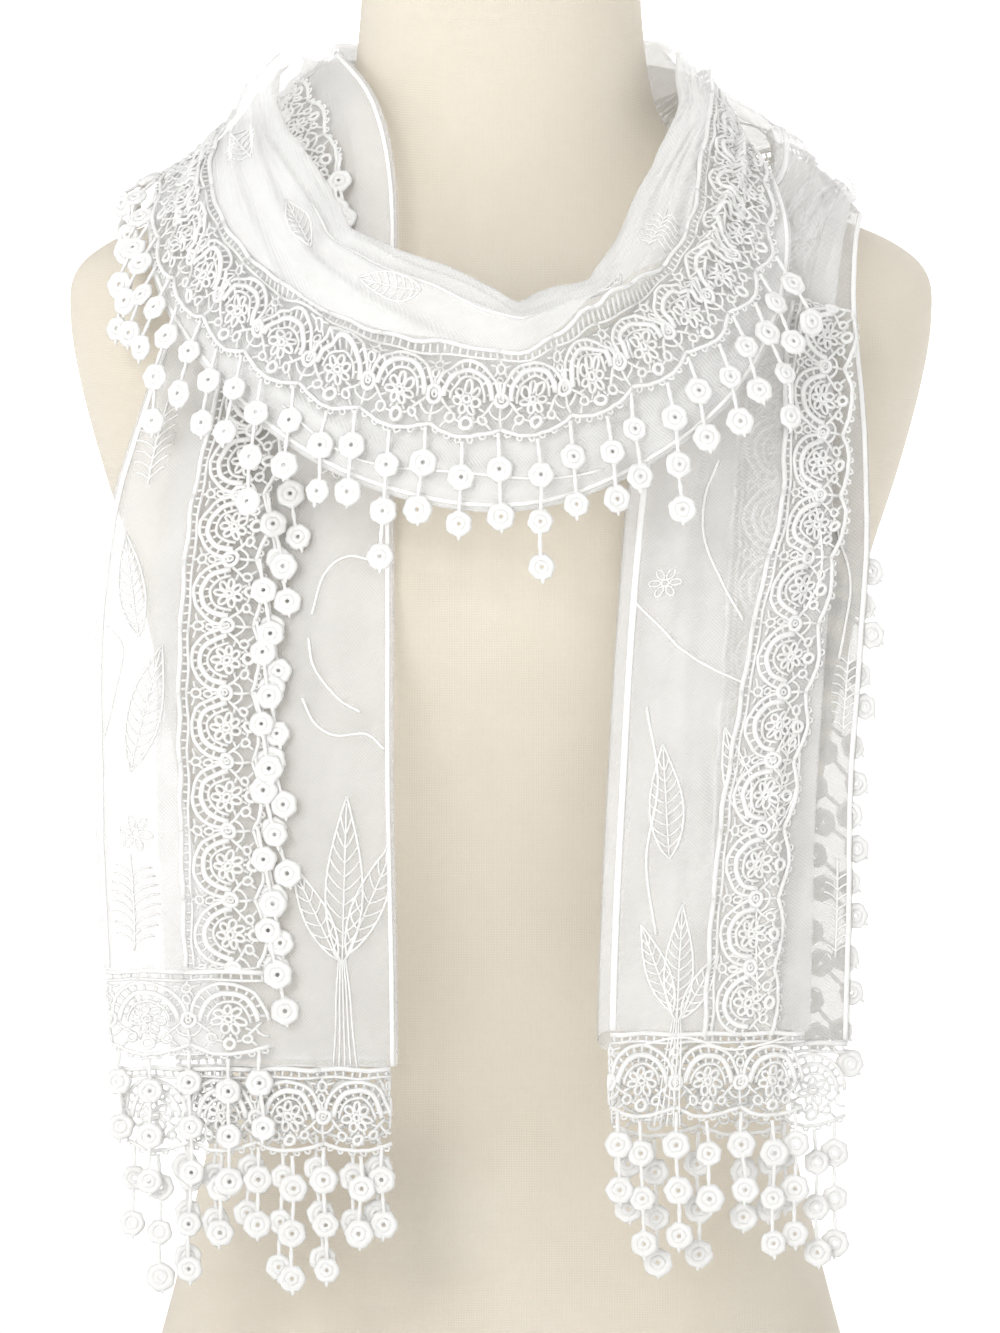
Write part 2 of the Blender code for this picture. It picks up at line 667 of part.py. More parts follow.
def edge_lace(base, name, stretch, level, first, droop, hangs_free, rings, bare, material, to):
    """A lace band and its fringe along a stretch's long edge."""
    toward, _ = LACE_EDGES[stretch]
    rows = lace_rows(base, stretch)[first:]
    repeats = len(rows) - 1

    def l_at(u):
        return float(np.interp(u, np.arange(repeats + 1), rows))

    def w_at(l, v):
        seam = SEAM_GAP / width_at(base, l)
        return heading_at(base, stretch, l) + toward * (seam + v * lace_share(base, l))

    def place(u, v):
        l = l_at(u)
        w = w_at(l, v)
        return on_base(base, [l], [w], [height_at(base, stretch, level, l, w)])[0]

    def line_at(u, count):
        l = l_at(u)
        return hanging_line(base, stretch, l, w_at(l, 1.06), level, droop, hangs_free, count)

    points, faces = lace_sheet(place, repeats)
    made_wall(name + "_lace", points, faces, LACE_WALL, material, to)
    points, faces = fringe_sheet(place, line_at, repeats, rings, bare)
    made_wall(name + "_fringe", points, faces, LACE_WALL, material, to)


def end_lace(base, name, stretch, start, end, level, hem, rings, material, to):
    """A lace band and its fringe across one layer's end."""
    first, last = base["bounds"][stretch]
    at_start = stretch == ROUTE[0]
    hem_at = hem if at_start else last - hem
    repeats = max(1, round(abs(end - start) * width_at(base, hem_at) / LACE_REPEAT))

    def place(u, v):
        w = start + (end - start) * u / repeats
        below = hem - SEAM_GAP - v * LACE_DEPTH
        l = below if at_start else last - below
        return on_base(base, [l], [w], [height_at(base, stretch, level, hem_at, w)])[0]

    def line_at(u, count):
        root, below = place(u, 1.06), place(u, 1.3)
        way = unit(below - root)
        out = np.array((0.0, -1.0, 0.0))
        return [(root + way * RING_PITCH / 2 * k, way, out) for k in range(2 * count + 1)]

    points, faces = lace_sheet(place, repeats)
    made_wall(name + "_lace", points, faces, LACE_WALL, material, to)
    points, faces = fringe_sheet(place, line_at, repeats, rings, ())
    made_wall(name + "_fringe", points, faces, LACE_WALL, material, to)


def principled(name, colour, roughness):
    material = bpy.data.materials.new(name)
    material.use_nodes = True
    shader = material.node_tree.nodes["Principled BSDF"]
    shader.inputs["Base Color"].default_value = colour
    shader.inputs["Roughness"].default_value = roughness
    shader.inputs["Metallic"].default_value = 0.0
    return material


def make_form(material, collection):
    """The linen-covered torso form, neck to hip, on its flat base."""
    points, faces = form_shape(FORM_LEVELS, FORM_ROUND)
    mesh = bpy.data.meshes.new("dress_form")
    mesh.from_pydata(points, [], faces)
    mesh.materials.append(material)
    mesh.shade_smooth()
    mesh.set_sharp_from_angle(angle=math.radians(50))
    form = bpy.data.objects.new("dress_form", mesh)
    collection.objects.link(form)
    return form


def main():
    for old in list(bpy.data.objects):
        bpy.data.objects.remove(old)
    shawl = bpy.data.collections.new("lace_shawl")
    bpy.context.scene.collection.children.link(shawl)

    linen = principled("linen", LINEN_COLOUR, 0.85)
    net = principled("net", NET_COLOUR, 0.75)
    lace = principled("lace", LACE_COLOUR, 0.7)

    make_form(linen, shawl)
    points, faces = form_shape(4 * FORM_LEVELS, 2 * FORM_ROUND)
    tree = BVHTree.FromPolygons(points, faces)
    base = make_base(tree)
    for name in ROUTE:
        make_cloth(base, name, net, shawl)
    for row in EDGE_LACES:
        edge_lace(base, *row, lace, shawl)
    for row in END_LACES:
        end_lace(base, *row, lace, shawl)


main()
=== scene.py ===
# The lace shawl and its dress form, dressed: sheer net, lace of real threads, couched cords,
# ring pendants and a linen cover, all laid on the same base surface as the solids.

import math

import bpy
import numpy as np
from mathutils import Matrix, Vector
from mathutils.bvhtree import BVHTree


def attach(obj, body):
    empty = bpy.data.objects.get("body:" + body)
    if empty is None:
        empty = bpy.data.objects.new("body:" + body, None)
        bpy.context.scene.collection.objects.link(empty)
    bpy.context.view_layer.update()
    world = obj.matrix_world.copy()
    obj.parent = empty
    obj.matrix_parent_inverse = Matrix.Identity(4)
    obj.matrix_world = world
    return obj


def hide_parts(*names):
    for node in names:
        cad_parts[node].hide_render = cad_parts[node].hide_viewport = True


# Driving sizes
LAYER = 0.003
SEAM_GAP = 0.0004
LACE_DEPTH = 0.038
LACE_REPEAT = 0.031
RING_ACROSS = 0.011
RING_PITCH = 0.02
FORM_ROUND = 32
FORM_LEVELS = 22
ROW_STEP = 0.01
BASE_COLUMNS = 9
OVER_LAYERS = 0.0032
PENDANT_LIFT = 0.003
DOWN = np.array((0.0, 0.0, -1.0))

# The form's level sections: height, half width, how far its front and its back reach, squareness
FORM_SECTIONS = (
    (0.0, 0.17, 0.098, 0.112, 2.3),
    (0.06, 0.162, 0.096, 0.105, 2.3),
    (0.12, 0.147, 0.09, 0.092, 2.3),
    (0.2, 0.13, 0.084, 0.078, 2.25),
    (0.26, 0.133, 0.09, 0.078, 2.25),
    (0.33, 0.147, 0.107, 0.084, 2.25),
    (0.4, 0.161, 0.122, 0.092, 2.3),
    (0.44, 0.17, 0.119, 0.096, 2.35),
    (0.48, 0.183, 0.108, 0.098, 2.4),
    (0.52, 0.194, 0.094, 0.098, 2.3),
    (0.55, 0.199, 0.083, 0.094, 2.1),
    (0.572, 0.197, 0.075, 0.088, 1.85),
    (0.587, 0.18, 0.068, 0.082, 1.65),
    (0.6, 0.148, 0.064, 0.077, 1.6),
    (0.612, 0.116, 0.061, 0.073, 1.65),
    (0.626, 0.09, 0.059, 0.07, 1.8),
    (0.642, 0.0745, 0.058, 0.0675, 1.95),
    (0.664, 0.068, 0.0575, 0.0655, 2.0),
    (0.692, 0.065, 0.057, 0.064, 2.0),
    (0.712, 0.064, 0.056, 0.063, 2.0),
    (0.7185, 0.0605, 0.0525, 0.0595, 2.0),
    (0.7205, 0.053, 0.045, 0.052, 2.0),
)

# The stretches in order: up the left side, round the neck twice, down the right side
ROUTE = ("left_tail", "nape_inner", "cowl", "nape_outer", "right_tail")

# Each stretch's stations in millimetres: the inner rail (x, y, z), the outer rail (x, y, z), how far
# the middle stands out, and how far the base stays off the form. A stretch begins at the last
# station of the one before it
STATIONS = {
    "left_tail": (
        (-46.5, -137, 158, -165, -122, 158, 6, 1), (-47.5, -137, 256, -174.5, -120, 256, 6, 1),
        (-49, -136, 340, -178, -113, 340, 6, 1), (-49, -124, 410, -178.5, -98, 410, 6, 1),
        (-49, -116, 470, -170, -85, 470, 4, 1), (-48.5, -108, 520, -154, -80, 520, 3, 1),
        (-48, -88, 562, -140, -66, 560, 3, 1), (-48, -66, 606, -130, -44, 592, 3, 1),
        (-54, -50, 646, -126, -10, 603, 3, 1), (-74, -2, 672, -122, 32, 620, 3, 1),
    ),
    "nape_inner": (
        (-69, 42, 678, -104, 80, 610, 3, 1), (-40, 72, 681, -58, 110, 602, 3, 1),
        (0, 82, 682, 0, 118, 600, 3, 1), (40, 72, 682, 58, 108, 604, 3, 1),
        (69, 44, 680, 94, 76, 618, 3, 1), (77, 12, 672, 104, 32, 636, 3, 3.5),
    ),
    "cowl": (
        (76, -14, 654, 108, 2, 625, 4, 6), (72.5, -34, 636, 116, -26, 610, 5, 12),
        (68, -54, 614, 126, -58, 588, 6, 14), (60, -86, 577, 122, -104, 546, 8, 14),
        (42, -112, 551, 94, -138, 500, 10, 14), (8.6, -124, 544, 20, -158, 460, 12, 14),
        (-30, -118, 557, -54, -154, 468, 12, 14), (-64, -98, 574, -108, -132, 500, 10, 14),
        (-85, -64, 602, -146, -92, 545, 8, 14), (-92, -26, 630, -158, -44, 585, 6, 14),
        (-86, 22, 656, -142, 18, 616, 4, 14),
    ),
    "nape_outer": (
        (-76, 64, 668, -128, 88, 596, 4, 14), (-44, 98, 674, -76, 140, 578, 4, 14),
        (0, 110, 675, 0, 152, 573, 4, 14), (44, 100, 674, 76, 140, 576, 4, 14),
        (82, 78, 666, 122, 108, 590, 4, 14), (108, 62, 650, 148, 80, 598, 4, 11),
        (127, 36, 634, 164, 46, 602, 3, 4),
    ),
    "right_tail": (
        (127, -4, 610, 164, 4, 591, 3, 1), (115, -50, 592, 160, -44, 580, 3, 1),
        (92, -82, 560, 159, -64, 550, 3, 1), (69, -106, 520, 162.5, -80, 510, 3, 1),
        (60, -116, 470, 164.5, -87, 465, 4, 1), (56, -124, 410, 162, -104, 410, 6, 1),
        (51.5, -136, 340, 156, -114, 340, 6, 1), (48, -137, 256, 154.5, -121, 256, 6, 1),
        (46.5, -137, 150, 151, -122, 150, 6, 1),
    ),
}

# Where the folded-over layer's lace ends across a stretch, as w at evenly spaced s, and the side
# that it points to: 1 towards the outer rail
LACE_EDGES = {
    "left_tail": (-1, (0.425, 0.425, 0.425, 0.425, 0.41, 0.34, 0.26, 0.26)),
    "cowl": (1, (0.92, 0.92, 0.86, 0.71, 0.71, 0.78, 0.9, 0.96, 0.96)),
    "nape_outer": (1, (0.98, 0.93, 0.92, 0.92, 0.93, 0.98)),
    "right_tail": (1, (0.9, 0.8, 0.75, 0.75, 0.75, 0.75)),
}

# How each stretch is folded lengthwise, as its layers in order across the cut cloth: from w, to w,
# level off the base, faces across, and how far the cloth's end is drawn up there. HEADING is the
# line where the folded-over layer's net ends and its lace begins
HEADING = None
FOLDS = {
    "left_tail": ((HEADING, 1, 2, 16, 0.098), (1, 0, 1, 44, 0.055), (0, 0.8, 0, 24, 0.06)),
    "nape_inner": ((0.8, 0, 1, 26, 0), (0, 0.85, 0, 20, 0)),
    "cowl": ((HEADING, 0, 2, 26, 0), (0, 1, 1, 40, 0), (1, 0.25, 0, 18, 0)),
    "nape_outer": ((HEADING, 0, 1, 28, 0), (0, 0.96, 0, 30, 0)),
    "right_tail": (
        (HEADING, 0, 0, 18, 0.07), (0, 0.8, 3, 40, 0.079), (0.8, 0.68, 2, 6, 0.079),
        (0.68, 1, 1, 14, 0.074),
    ),
}
# How much further apart the layers lie at the inner rail, where the fold is a soft roll
PUFF = {"left_tail": 0.0, "nape_inner": 0.001, "cowl": 0.0035, "nape_outer": 0.003, "right_tail": 0.0}
# The layers that a stretch passes over
PASSES_OVER = {"cowl": ("left_tail", "right_tail"), "nape_outer": ("left_tail", "nape_inner")}

# Soft creases that run along a stretch: w at its start, w at its end, rise, width across
CREASES = {
    "left_tail": ((0.14, 0.1, 0.0016, 0.09), (0.88, 0.8, 0.0014, 0.07)),
    "nape_inner": ((0.4, 0.45, 0.0012, 0.14),),
    "cowl": ((0.26, 0.12, 0.003, 0.07), (0.1, 0.3, 0.0026, 0.08)),
    "nape_outer": ((0.16, 0.24, 0.003, 0.08),),
    "right_tail": ((0.42, 0.3, 0.0016, 0.1), (0.66, 0.62, 0.0014, 0.07)),
}


def catmull_rom(rows, at, paired=False):
    """Rows of numbers read smoothly at each number in at; whole numbers fall on the rows.

    If paired, each number in at has rows of its own."""
    rows, at = np.asarray(rows, float), np.asarray(at, float)
    if paired:
        each = np.arange(len(at))
        last = rows.shape[1] - 1
        spare = (1,) * (rows.ndim - 2)
    else:
        last = len(rows) - 1
        spare = (1,) * (rows.ndim - 1)

    def row(index):
        return rows[each, index] if paired else rows[index]

    inside = np.clip(at, 0.0, last)
    first = np.minimum(inside.astype(int), last - 1)
    t = (inside - first).reshape(-1, *spare)
    here, there = row(first), row(first + 1)
    has_before = (first > 0).reshape(t.shape)
    has_after = (first + 2 <= last).reshape(t.shape)
    before = np.where(has_before, row(np.maximum(first - 1, 0)), 2 * here - there)
    after = np.where(has_after, row(np.minimum(first + 2, last)), 2 * there - here)
    slope_here, slope_there = (there - before) / 2, (after - here) / 2
    value = (
        (2 * t**3 - 3 * t**2 + 1) * here
        + (t**3 - 2 * t**2 + t) * slope_here
        + (3 * t**2 - 2 * t**3) * there
        + (t**3 - t**2) * slope_there
    )
    past = (at - inside).reshape(t.shape)
    return value + past * np.where(past < 0, slope_here, slope_there)


def form_ring(section, count):
    """The points round the form at one section: height, half width, front, back, squareness."""
    height, half_width, front, back, squareness = section
    ring = []
    for k in range(count):
        angle = math.tau * k / count
        c, s = math.cos(angle), math.sin(angle)
        reach = back if s > 0 else front
        x = half_width * math.copysign(abs(c) ** (2 / squareness), c)
        y = reach * math.copysign(abs(s) ** (2 / squareness), s)
        ring.append((x, y, height))
    return ring


def form_shape(levels, count):
    """Points and faces of the whole form, closed with a flat base and a flat top."""
    last = len(FORM_SECTIONS) - 1
    sections = catmull_rom(FORM_SECTIONS, np.linspace(0, last, levels))
    points = [p for section in sections for p in form_ring(section, count)]
    faces = []
    for level in range(levels - 1):
        for k in range(count):
            here, beside = level * count + k, level * count + (k + 1) % count
            faces.append((here, beside, beside + count, here + count))
    faces.append(tuple(reversed(range(count))))
    faces.append(tuple((levels - 1) * count + k for k in range(count)))
    return points, faces


def unit(vectors):
    return vectors / np.maximum(np.linalg.norm(vectors, axis=-1, keepdims=True), 1e-9)


def pushed_clear(grid, lifts, tree):
    """The grid's points, each moved out of the form until it is its own lift away from it."""
    for i in range(grid.shape[0]):
        for j in range(grid.shape[1]):
            point = Vector(grid[i, j])
            near, normal, _, _ = tree.find_nearest(point)
            if (point - near).dot(normal) < lifts[i]:
                grid[i, j] = near + normal * lifts[i]
    return grid


def outward(grid):
    """The way the cloth faces at each point of a grid."""
    return unit(np.cross(np.gradient(grid, axis=0), np.gradient(grid, axis=1)))


def travel(points):
    """How far along a line of points each one lies."""
    return np.concatenate(([0.0], np.cumsum(np.linalg.norm(np.diff(points, axis=0), axis=1))))


def rail_rows():
    """The whole route's stations as evenly spaced rows, their spacing and each stretch's bounds."""
    stations, ends = [], [0]
    for name in ROUTE:
        stations.extend(STATIONS[name])
        ends.append(len(stations) - 1)
    per = 12
    fine = catmull_rom(np.array(stations) / 1000, np.arange(per * (len(stations) - 1) + 1) / per)
    travelled = travel((fine[:, 0:3] + fine[:, 3:6]) / 2)
    marks = travelled[per * np.array(ends)]
    bounds = {name: (marks[k], marks[k + 1]) for k, name in enumerate(ROUTE)}
    count = round(travelled[-1] / ROW_STEP) + 1
    even = np.interp(np.linspace(0.0, travelled[-1], count), travelled, np.arange(len(fine)))
    return catmull_rom(fine, even), travelled[-1] / (count - 1), bounds


def make_base(tree):
    """The base surface of the whole shawl."""
    rows, pitch, bounds = rail_rows()
    inner, outer, crown, lift = rows[:, None, 0:3], rows[:, None, 3:6], rows[:, 6], rows[:, 7]
    w = np.linspace(0, 1, BASE_COLUMNS)[None, :, None]
    grid = inner + (outer - inner) * w
    grid = grid + outward(grid) * (crown[:, None, None] * 4 * w * (1 - w))
    for _ in range(4):
        grid = pushed_clear(grid, lift, tree)
        grid[1:-1] = (grid[:-2] + 2 * grid[1:-1] + grid[2:]) / 4
    grid = pushed_clear(grid, lift, tree)
    base = {"grid": grid, "pitch": pitch, "bounds": bounds, "tree": tree}
    base["sheets"] = {name: top_sheet(base, name) for name in ("left_tail", "nape_inner", "right_tail")}
    for _ in range(2):
        base["grid"] = base["grid"] + outward(base["grid"]) * overlay(base)[:, :, None]
    return base


def top_sheet(base, name):
    """The upper side of a stretch's top layer."""
    start, end = base["bounds"][name]
    level = max(run[2] for run in FOLDS[name])
    lengths = np.arange(start, end, 0.008)
    across = np.linspace(-0.06, 1.06, 15)
    points = [
        on_base(base, [l], [w], [height_at(base, name, level, l, w)])[0] for l in lengths for w in across
    ]
    count = len(across)
    faces = [
        (k * count + j, k * count + j + 1, (k + 1) * count + j + 1, (k + 1) * count + j)
        for k in range(len(lengths) - 1)
        for j in range(count - 1)
    ]
    return BVHTree.FromPolygons([tuple(p) for p in points], faces)


def short_of_layers(base, point, out, names):
    """How far a point must move out to pass over the named stretches; 0 if they aren't below it."""
    reach, move = 0.05, 0.0
    for name in names:
        origin = Vector(point + out * reach)
        place, _, _, distance = base["sheets"][name].ray_cast(origin, Vector(-out), 2 * reach)
        if place is not None:
            move = max(move, reach - distance + OVER_LAYERS)
    return move


def overlay(base):
    """How far each base point moves out so that it passes over the layers below it."""
    grid, out = base["grid"], outward(base["grid"])
    move = np.zeros(grid.shape[:2])
    for name, below in PASSES_OVER.items():
        start, end = base["bounds"][name]
        for i in range(round(start / base["pitch"]), round(end / base["pitch"]) + 1):
            for j in range(grid.shape[1]):
                move[i, j] = short_of_layers(base, grid[i, j], out[i, j], below)
    soft = move
    for _ in range(14):
        soft = np.pad(soft, 1, mode="edge")
        beside = soft[:-2, 1:-1] + soft[2:, 1:-1] + soft[1:-1, :-2] + soft[1:-1, 2:]
        soft = (beside + 2 * soft[1:-1, 1:-1]) / 6
        soft = np.maximum(soft, move)
    return soft


def read_base(base, l, w):
    """The base surface at each pair of l and w."""
    l, w = np.asarray(l, float), np.asarray(w, float)
    rows = catmull_rom(base["grid"], l / base["pitch"])
    return catmull_rom(rows, w * (BASE_COLUMNS - 1), paired=True)


def slopes(base, l, w):
    """How the base surface runs at l and w: per metre along, and per whole width across."""
    along = (read_base(base, l + 0.012, w) - read_base(base, l - 0.012, w)) / 0.024
    across = (read_base(base, l, w + 0.08) - read_base(base, l, w - 0.08)) / 0.16
    return along, across


def facing(base, l, w):
    """The way the base surface faces at each l and w."""
    return unit(np.cross(*slopes(base, l, w)))


def on_base(base, l, w, height):
    """Points at l and w, height metres off the base surface."""
    l, w, height = (np.asarray(v, float) for v in (l, w, height))
    return read_base(base, l, w) + facing(base, l, w) * height[:, None]


def share_of(base, name, l):
    """How far along its stretch l lies, from 0 to 1."""
    start, end = base["bounds"][name]
    return (l - start) / (end - start)


def height_at(base, name, level, l, w):
    """How far off the base a layer lies, with the soft roll at the inner rail and the creases."""
    top = max(run[2] for run in FOLDS[name])
    share = share_of(base, name, l)
    height = level * (LAYER + PUFF[name] * np.maximum(0.0, 1.0 - w) ** 2)
    for start, end, rise, width in CREASES[name]:
        middle = start + (end - start) * share
        height = height + (level / top) ** 2 * rise * np.exp(-(((w - middle) / width) ** 2))
    return height


def widths_of(base, l):
    """The straight distance between the rails at each l."""
    inner, outer = (read_base(base, l, np.full(len(l), w)) for w in (0.0, 1.0))
    return np.linalg.norm(outer - inner, axis=1)


def width_at(base, l):
    return widths_of(base, [l])[0]


def edges_of(base, name, l):
    """The w of the lace's outer edge at each l."""
    _, table = LACE_EDGES[name]
    return catmull_rom(np.array(table)[:, None], share_of(base, name, l) * (len(table) - 1))[:, 0]


def lace_w(base, name, l, v, seam=SEAM_GAP):
    """The w on a stretch's lace at each l, v of the way from its heading to its outer edge.

    The lace takes a smaller share of the width where the cloth is gathered."""
    toward, _ = LACE_EDGES[name]
    l = np.atleast_1d(l)
    width = widths_of(base, l)
    share = np.minimum(LACE_DEPTH / width, 0.6)
    return edges_of(base, name, l) + toward * ((v - 1) * share + seam / width)


def stretch_ends(base, name, hem):
    """Where a layer of a stretch begins and ends along the band, clear of the seams."""
    start, end = base["bounds"][name]
    if name == ROUTE[0]:
        return start + hem, end - SEAM_GAP / 2
    if name == ROUTE[-1]:
        return start + SEAM_GAP / 2, end - hem
    return start + SEAM_GAP / 2, end - SEAM_GAP / 2


def lace_rows(base, name):
    """The values of l between which the repeats of a stretch's lace lie, even along its edge."""
    start, end = stretch_ends(base, name, FOLDS[name][0][4])
    stops = np.linspace(start, end, 81)
    travelled = travel(read_base(base, stops, edges_of(base, name, stops)))
    repeats = round(travelled[-1] / LACE_REPEAT)
    return np.interp(np.linspace(0.0, travelled[-1], repeats + 1), travelled, stops)


def drawn_up(base, name, l, hem):
    """Where a row falls in a layer whose end is drawn up by hem; l is right for the first layer."""
    start, end = stretch_ends(base, name, hem)
    first_start, first_end = stretch_ends(base, name, FOLDS[name][0][4])
    return start + (l - first_start) * (end - start) / (first_end - first_start)


def hanging_line(base, name, l, w, level, droop, hangs_free, rings):
    """Where a pendant's thread lies, from its root down: points, the way on, the way it faces.

    It follows the layer below until the bottom fold, then hangs straight if hangs_free."""
    toward, _ = LACE_EDGES[name]
    step = RING_PITCH / 2
    above = 0.0006
    free = False
    line = []
    point = on_base(base, [l], [w], [height_at(base, name, level, l, w) + above])[0]
    for _ in range(2 * rings + 1):
        along, across = (v[0] for v in slopes(base, np.array([l]), np.array([w])))
        out = unit(np.cross(along, across))
        if free:
            way = unit(DOWN + 0.12 * out)
        else:
            way = unit((1 - droop) * toward * unit(across) + droop * unit(DOWN - out * (DOWN @ out)))
        line.append((point, way, out))
        if free or (hangs_free and w > 1.06):
            free = True
            point = point + way * step
            point = point + out * short_of_layers(base, point, out, PASSES_OVER[name])
        else:
            moves, *_ = np.linalg.lstsq(np.stack((along, across), axis=1), way * step, rcond=None)
            l, w = l + moves[0], w + moves[1]
            point = on_base(base, [l], [w], [height_at(base, name, level, l, w) + above])[0]
        near, normal, _, _ = base["tree"].find_nearest(Vector(point))
        if (Vector(point) - near).dot(normal) < PENDANT_LIFT:
            point = np.array(near + normal * PENDANT_LIFT)
    return line


# The lace along the long edge: name, stretch, level, at which repeat it comes out from under the
# cloth, how much its pendants turn towards the floor, whether they hang free past the bottom
# fold, rings on each in turn, and the tips without a pendant, where the cloth leaves no room
EDGE_LACES = (
    ("left_edge", "left_tail", 2, 0, 0.55, False, (2,), (8, 9, 10, 13, 14, 15, 16)),
    ("cowl_edge", "cowl", 2, 0, 0.7, True, (2, 3), (0, 1, 2, 3)),
    ("nape_edge", "nape_outer", 1, 0, 0.6, True, (2,), (12, 13)),
    ("right_edge", "right_tail", 0, 4, 0.45, False, (2,), (0, 1, 2)),
)
# The lace across the two ends: name, stretch, from w, to w, level, hem, rings
END_LACES = (
    ("left_end_front", "left_tail", 0.995, 0.428, 2, 0.098, (3,)),
    ("left_end_back", "left_tail", 0.985, 0.015, 1, 0.055, (3, 2)),
    ("right_end_front", "right_tail", 0.01, 0.79, 3, 0.079, (3, 2)),
    ("right_end_side", "right_tail", 0.7, 0.99, 1, 0.074, (3,)),
)


# The core above is the part's own geometry. From here on: the look

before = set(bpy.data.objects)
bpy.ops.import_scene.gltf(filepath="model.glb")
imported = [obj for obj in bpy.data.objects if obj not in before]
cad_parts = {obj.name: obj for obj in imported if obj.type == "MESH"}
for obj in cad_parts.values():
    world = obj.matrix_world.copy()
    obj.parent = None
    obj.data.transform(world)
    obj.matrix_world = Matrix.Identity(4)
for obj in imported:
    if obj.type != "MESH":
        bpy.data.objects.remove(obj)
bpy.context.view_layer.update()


# Reading the cloth in bulk


def heights(name, level, l, w):
    """How far off the base a layer lies at each l and w, with its creases and ripples."""
    share = share_of(base, name, l)
    height = height_at(base, name, level, l, w)
    for s_start, s_end, w_start, w_end, rise, width in RIPPLES[name]:
        reach = np.clip((share - s_start) / (s_end - s_start), 0.0, 1.0)
        inside = np.clip(np.minimum(share - s_start, s_end - share) / 0.12, 0.0, 1.0)
        middle = w_start + (w_end - w_start) * reach
        bump = np.exp(-(((w - middle) / width) ** 2))
        height = height + rise * (inside * inside * (3 - 2 * inside)) * bump
    crumple = np.sin(l * 210.0 + w * 17.0) * np.sin(l * 95.0 - w * 23.0)
    slump = np.sin(l * 61.0 + 4.0 * np.sin(w * 9.0)) * np.sin(w * 13.0 + l * 24.0)
    streaks = np.sin(w * 74.0 + 2.6 * np.sin(l * 16.0)) * np.sin(l * 27.0 + w * 6.0)
    return height + 0.00025 * (1 + crumple) + 0.0007 * (1 + slump) + STREAKS[name] * (1 + streaks)


def along_at(name, s):
    """The l at a share s of a stretch."""
    start, end = base["bounds"][name]
    return start + (end - start) * s


def on_cloth(name, level, l, w, above=0.0):
    """Points on a layer, raised by above, with the neckline's dips and humps."""
    height = heights(name, level, l, w) + above
    if name in PULLS:
        share = share_of(base, name, l)
        for s, reach, pull in PULLS[name]:
            w = w + pull * np.exp(-(((share - s) / reach) ** 2)) * np.clip(1 - w, 0, 1) ** 3
    return on_base(base, l, w, height)


# The net's finer folds along each stretch: from s, to s, w at each end, rise, width
RIPPLES = {
    "left_tail": (
        (0.3, 0.98, 0.3, 0.14, 0.0022, 0.03), (0.02, 0.6, 0.1, 0.2, 0.0014, 0.035),
        (0.55, 1.0, 0.62, 0.5, 0.0022, 0.035), (0.1, 0.75, 0.88, 0.8, 0.0014, 0.028),
        (0.0, 0.45, 0.93, 0.76, 0.0012, 0.025),
    ),
    "nape_inner": (
        (0.0, 1.0, 0.25, 0.3, 0.0014, 0.05), (0.0, 1.0, 0.62, 0.55, 0.0016, 0.06),
    ),
    "cowl": (
        (0.5, 0.99, 0.58, 0.26, 0.0048, 0.028), (0.46, 0.97, 0.38, 0.16, 0.0052, 0.03),
        (0.3, 0.9, 0.24, 0.1, 0.0044, 0.028), (0.44, 0.86, 0.08, 0.03, 0.003, 0.022),
        (0.02, 0.47, 0.1, 0.06, 0.0038, 0.024), (0.04, 0.5, 0.3, 0.2, 0.0052, 0.03),
        (0.03, 0.34, 0.82, 0.34, 0.0048, 0.028), (0.1, 0.56, 0.56, 0.4, 0.0036, 0.026),
        (0.4, 0.72, 0.48, 0.5, 0.003, 0.022), (0.34, 0.78, 0.86, 0.84, 0.0026, 0.035),
        (0.62, 0.96, 0.72, 0.52, 0.0032, 0.028),
    ),
    "nape_outer": (
        (0.0, 1.0, 0.14, 0.12, 0.0028, 0.035), (0.0, 0.8, 0.28, 0.4, 0.0034, 0.04),
        (0.2, 1.0, 0.52, 0.3, 0.0034, 0.04), (0.1, 0.9, 0.64, 0.6, 0.0022, 0.03),
    ),
    "right_tail": (
        (0.02, 0.62, 0.34, 0.14, 0.0026, 0.032), (0.0, 0.55, 0.5, 0.34, 0.0022, 0.028),
        (0.0, 0.82, 0.66, 0.5, 0.002, 0.03), (0.3, 0.99, 0.22, 0.28, 0.0014, 0.035),
        (0.05, 0.75, 0.92, 0.87, 0.0014, 0.026), (0.45, 1.0, 0.6, 0.66, 0.0014, 0.028),
    ),
}


# How far apart the net's rows of points lie, how far a laid cord stands off the net, how far apart
# the points of a hem lie
NET_STEP = 0.0045
OFF_NET = 0.0003
HEM_STEP = 0.006
# Fine streaks along the cloth where it is gathered: how high they stand
STREAKS = {
    "left_tail": 0.0001, "nape_inner": 0.0004, "cowl": 0.0008, "nape_outer": 0.0008, "right_tail": 0.0003,
}
# Where the folded top edge dips or stands: at s, how far to each side, by how much of the width
PULLS = {
    "cowl": (
        (0.485, 0.02, 0.07), (0.425, 0.026, -0.03), (0.372, 0.02, 0.035), (0.56, 0.034, -0.022),
        (0.69, 0.022, 0.04),
    ),
}


# Materials


def add_node(tree, kind, output, inputs, **settings):
    """Adds a node and returns one of its outputs. Each input is a link from a socket or a constant."""
    made = tree.nodes.new("ShaderNode" + kind)
    for key, value in settings.items():
        setattr(made, key, value)
    for key, value in inputs.items():
        if isinstance(value, bpy.types.NodeSocket):
            tree.links.new(value, made.inputs[key])
        else:
            made.inputs[key].default_value = value
    return made.outputs[output]


